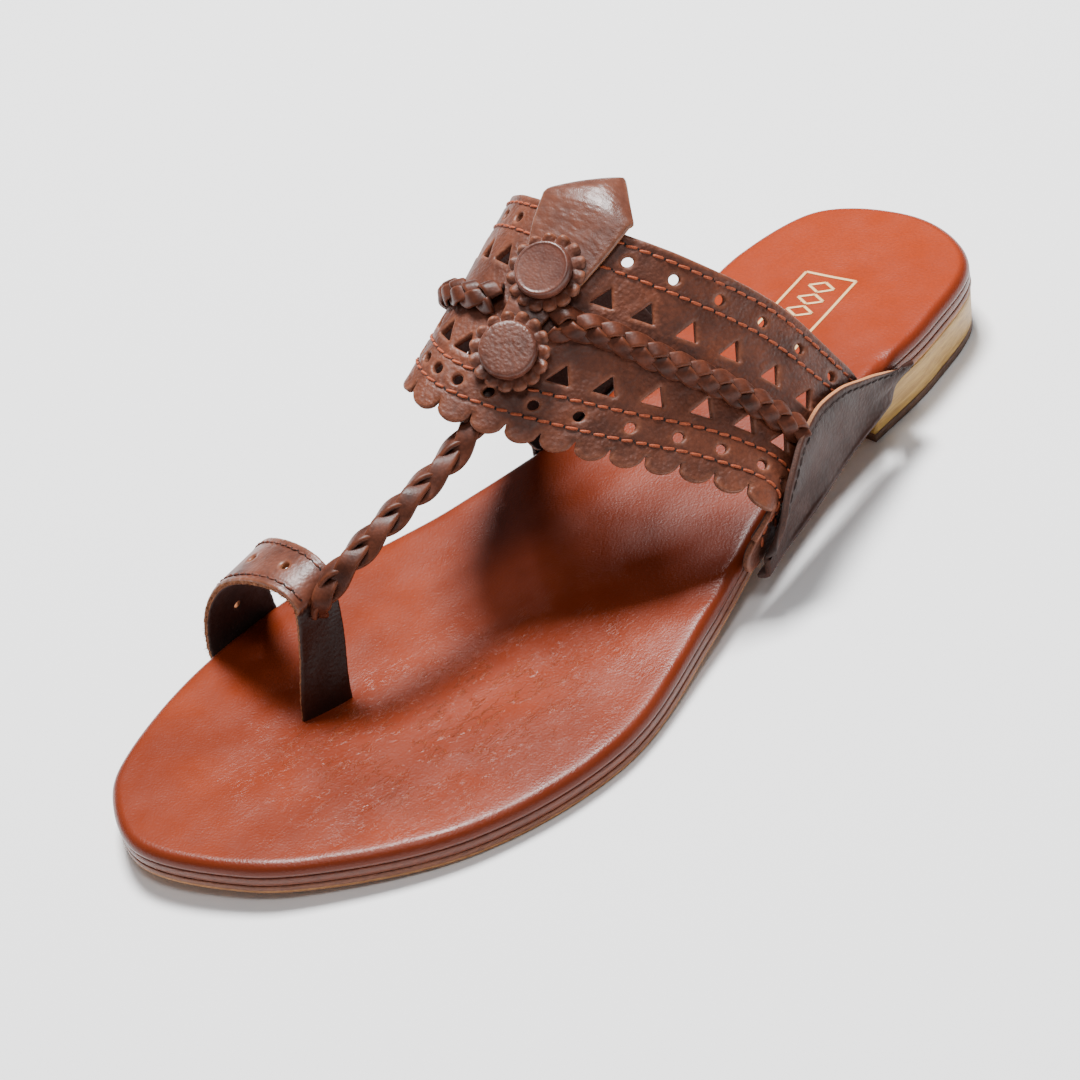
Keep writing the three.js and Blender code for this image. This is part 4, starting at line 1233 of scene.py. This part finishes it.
def clear_of_vamp(grid, side):
    """Bulges a flap outwards where the vamp's end stands behind it."""
    u, v = np.meshgrid(np.linspace(0, 0.3, 50) + (0.7 if side == "inner" else 0), np.linspace(0, 1, 50))
    skin, way = vamp(u, v).reshape(-1, 3), surface_normal(vamp, u, v).reshape(-1, 3)
    push = np.zeros(grid.shape[:2])
    for i, column in enumerate(grid):
        apart = column[:, None] - skin
        far = np.linalg.norm(apart, axis=2)
        near = far.argmin(1)
        rows = np.arange(len(column))
        above = (apart[rows, near] * way[near]).sum(1)
        aside = np.sqrt(np.maximum(far[rows, near] ** 2 - above ** 2, 0))
        room = (WALL + FLAP_WALL) / 2 + GAP + 0.35
        push[i] = np.maximum(room - above, 0) * (1 - smooth_step((aside - 1.5) / 2.5)) * (above > -6)
    spread = push.copy()
    for widening in [True] * 3 + [False] * 10:
        p = np.pad(spread, 1, mode="edge")
        around = [p[1:-1, 1:-1], p[:-2, 1:-1], p[2:, 1:-1], p[1:-1, :-2], p[1:-1, 2:]]
        spread = np.max(around, 0) if widening else (around[0] + np.sum(around, 0)) / 6
    grid[..., 0] += np.maximum(spread, push) * (1 if side == "inner" else -1)
    return grid


def flap(name, side, rows_table, stands_for):
    middle = flap_grid(side, rows_table)
    columns, rows = middle.shape[:2]
    i, j = np.meshgrid(np.linspace(0, 1, columns), np.linspace(0, 1, rows), indexing="ij")
    waves = 0.22 * np.sin(i * 17 + j * 3) * np.sin(j * 4.2 + 0.5) + 0.1 * np.sin(i * 41) * j
    outward = -1 if side == "outer" else 1
    normal = unit(np.cross(np.gradient(middle, axis=0), np.gradient(middle, axis=1)))
    facing = np.sign((normal[..., 0] * outward).mean())
    kinds = [M_FLAP, M_LINING, M_EDGE_FLAP] if facing > 0 else [M_LINING, M_FLAP, M_EDGE_FLAP]
    raw = smooth_step((0.66 - i) / 0.2) * (j > 0.9)
    grid_sheet(name, middle, FLAP_WALL, kinds, relief=waves, raw=raw, slot="flap_leather",
               stands_for=stands_for)
    step = np.linalg.norm(np.gradient(middle, axis=1), axis=2)
    length = step[:, ::-1].cumsum(1)[:, ::-1]
    line, out = [], []
    for column in range(3, columns - 3):
        row = np.interp(2.6, length[column, ::-1], np.arange(rows)[::-1])
        low, share = int(row), row - int(row)
        spot = middle[column, low] * (1 - share) + middle[column, low + 1] * share
        way = normal[column, low] * facing
        line.append(spot + way * (FLAP_WALL / 2 - 0.08) + normal[column, low] * waves[column, low])
        out.append(way)
    stitch_line(stitches, np.array(line), np.array(out), pitch=2.7, kind=2, radius=0.3)


flap("outer_flap_leather", "outer", OUTER_FLAP, ["outer_flap"])
flap("inner_flap_leather", "inner", INNER_FLAP, ["inner_flap"])
stitches.make("stitching", [M_THREAD, M_HOLE_SHADE, M_THREAD_DARK, M_THREAD_BROWN], slot="upper_leather")


# ---------- gilt frame on the insole ----------
def gilt():
    """A thin foil frame with a generic lattice of lozenges, pressed into the cover at the heel seat."""
    batch = Batch()
    turn = math.radians(11)
    half = np.array([6.8, 15.0])
    rear = np.array([1.4, -94.0])
    centre = rear + half[1] * np.array([-math.sin(turn), math.cos(turn)])
    c, s = math.cos(turn), math.sin(turn)

    def place(points):
        p = np.asarray(points, float)
        x = centre[0] + p[:, 0] * c - p[:, 1] * s
        y = centre[1] + p[:, 0] * s + p[:, 1] * c
        z = sole_bottom(y) + INSOLE_TOP
        flat = np.column_stack([x, y, z])
        return flat + np.column_stack([0 * x, 0 * x, insole_relief(flat) + 0.05])

    def bar(a, b, width, pieces=24):
        a, b = np.array(a, float), np.array(b, float)
        way = unit(b - a)
        side = np.array([-way[1], way[0]]) * width / 2
        t = np.linspace(0, 1, pieces)[:, None]
        line = a + (b - a) * t
        left, right = place(line - side), place(line + side)
        rise = np.array([0, 0, 0.06])
        rings = np.stack([left, right, right + rise, left + rise], 1)
        batch.add(rings.reshape(-1, 3), tube_faces(pieces, 4))

    x, y = half
    for a, b in (((-x, -y), (x, -y)), ((x, -y), (x, y)), ((x, y), (-x, y)), ((-x, y), (-x, -y))):
        bar(a, b, 0.8)
    for row in (-10.4, -5.2, 0.0, 5.2, 10.4):
        for d in (-1, 1):
            bar((-3.4, row), (0, row + 2.1 * d), 0.75, 6)
            bar((3.4, row), (0, row + 2.1 * d), 0.75, 6)
    batch.make("gilt_frame", [M_GILT], slot="insole_leather")


gilt()

# ---------- floor, light and camera ----------
bpy.ops.mesh.primitive_plane_add(size=6, location=(0, 0, 0))
floor = bpy.context.active_object
floor.name = "floor"
nodes = Nodes("floor_paper")
nodes.finish(nodes.mix(nodes.noise(900, 2.0), (0.94, 0.94, 0.945, 1), (0.965, 0.965, 0.965, 1)), 0.7)
floor.data.materials.append(nodes.material)


def area_light(name, place, size, power):
    """A soft square light that shines at the origin."""
    light = bpy.data.lights.new(name, "AREA")
    light.shape = "RECTANGLE"
    light.size = light.size_y = size
    light.energy = power
    obj = bpy.data.objects.new(name, light)
    bpy.context.scene.collection.objects.link(obj)
    obj.location = place
    obj.rotation_mode = "QUATERNION"
    obj.rotation_quaternion = (-Vector(place)).to_track_quat("-Z", "Y")


area_light("key", (0.42, -0.35, 1.47), 0.45, 66)
area_light("camera_side", (-0.42, 0.34, 1.30), 0.35, 5)
world = bpy.data.worlds.new("studio")
bpy.context.scene.world = world
world.use_nodes = True
world.node_tree.nodes["Background"].inputs[0].default_value = (0.95, 0.97, 1.0, 1)
world.node_tree.nodes["Background"].inputs[1].default_value = 0.24

CAMERA_DISTANCE = 0.7001
LENS = 79.36
SHIFT_ACROSS, SHIFT_UP = 0.0435, -0.0861
CLOSER = 1.25  # than the view that takes in both shoes of the pair
AZIMUTH, ELEVATION, ROLL = math.radians(234.463), math.radians(34.364), math.radians(-14.379)
back = Vector((math.sin(AZIMUTH) * math.cos(ELEVATION), -math.cos(AZIMUTH) * math.cos(ELEVATION),
               math.sin(ELEVATION)))
aim = Vector((0.044424 + SHIFT * 0.001, -0.015579, 0.010))
right = (-back).cross(Vector((0, 0, 1))).normalized()
up = right.cross(-back)
turned_right = right * math.cos(ROLL) + up * math.sin(ROLL)
turned_up = -right * math.sin(ROLL) + up * math.cos(ROLL)
camera = bpy.data.cameras.new("camera")
camera_object = bpy.data.objects.new("camera", camera)
bpy.context.scene.collection.objects.link(camera_object)
camera.sensor_width = 36
camera.lens = LENS * CLOSER
camera.shift_x = SHIFT_ACROSS * CLOSER
camera.shift_y = SHIFT_UP * CLOSER
camera.clip_start = 0.01
rotation = Matrix((turned_right, turned_up, back)).transposed()
camera_object.matrix_world = Matrix.Translation(aim + back * CAMERA_DISTANCE) @ rotation.to_4x4()
bpy.context.scene.camera = camera_object
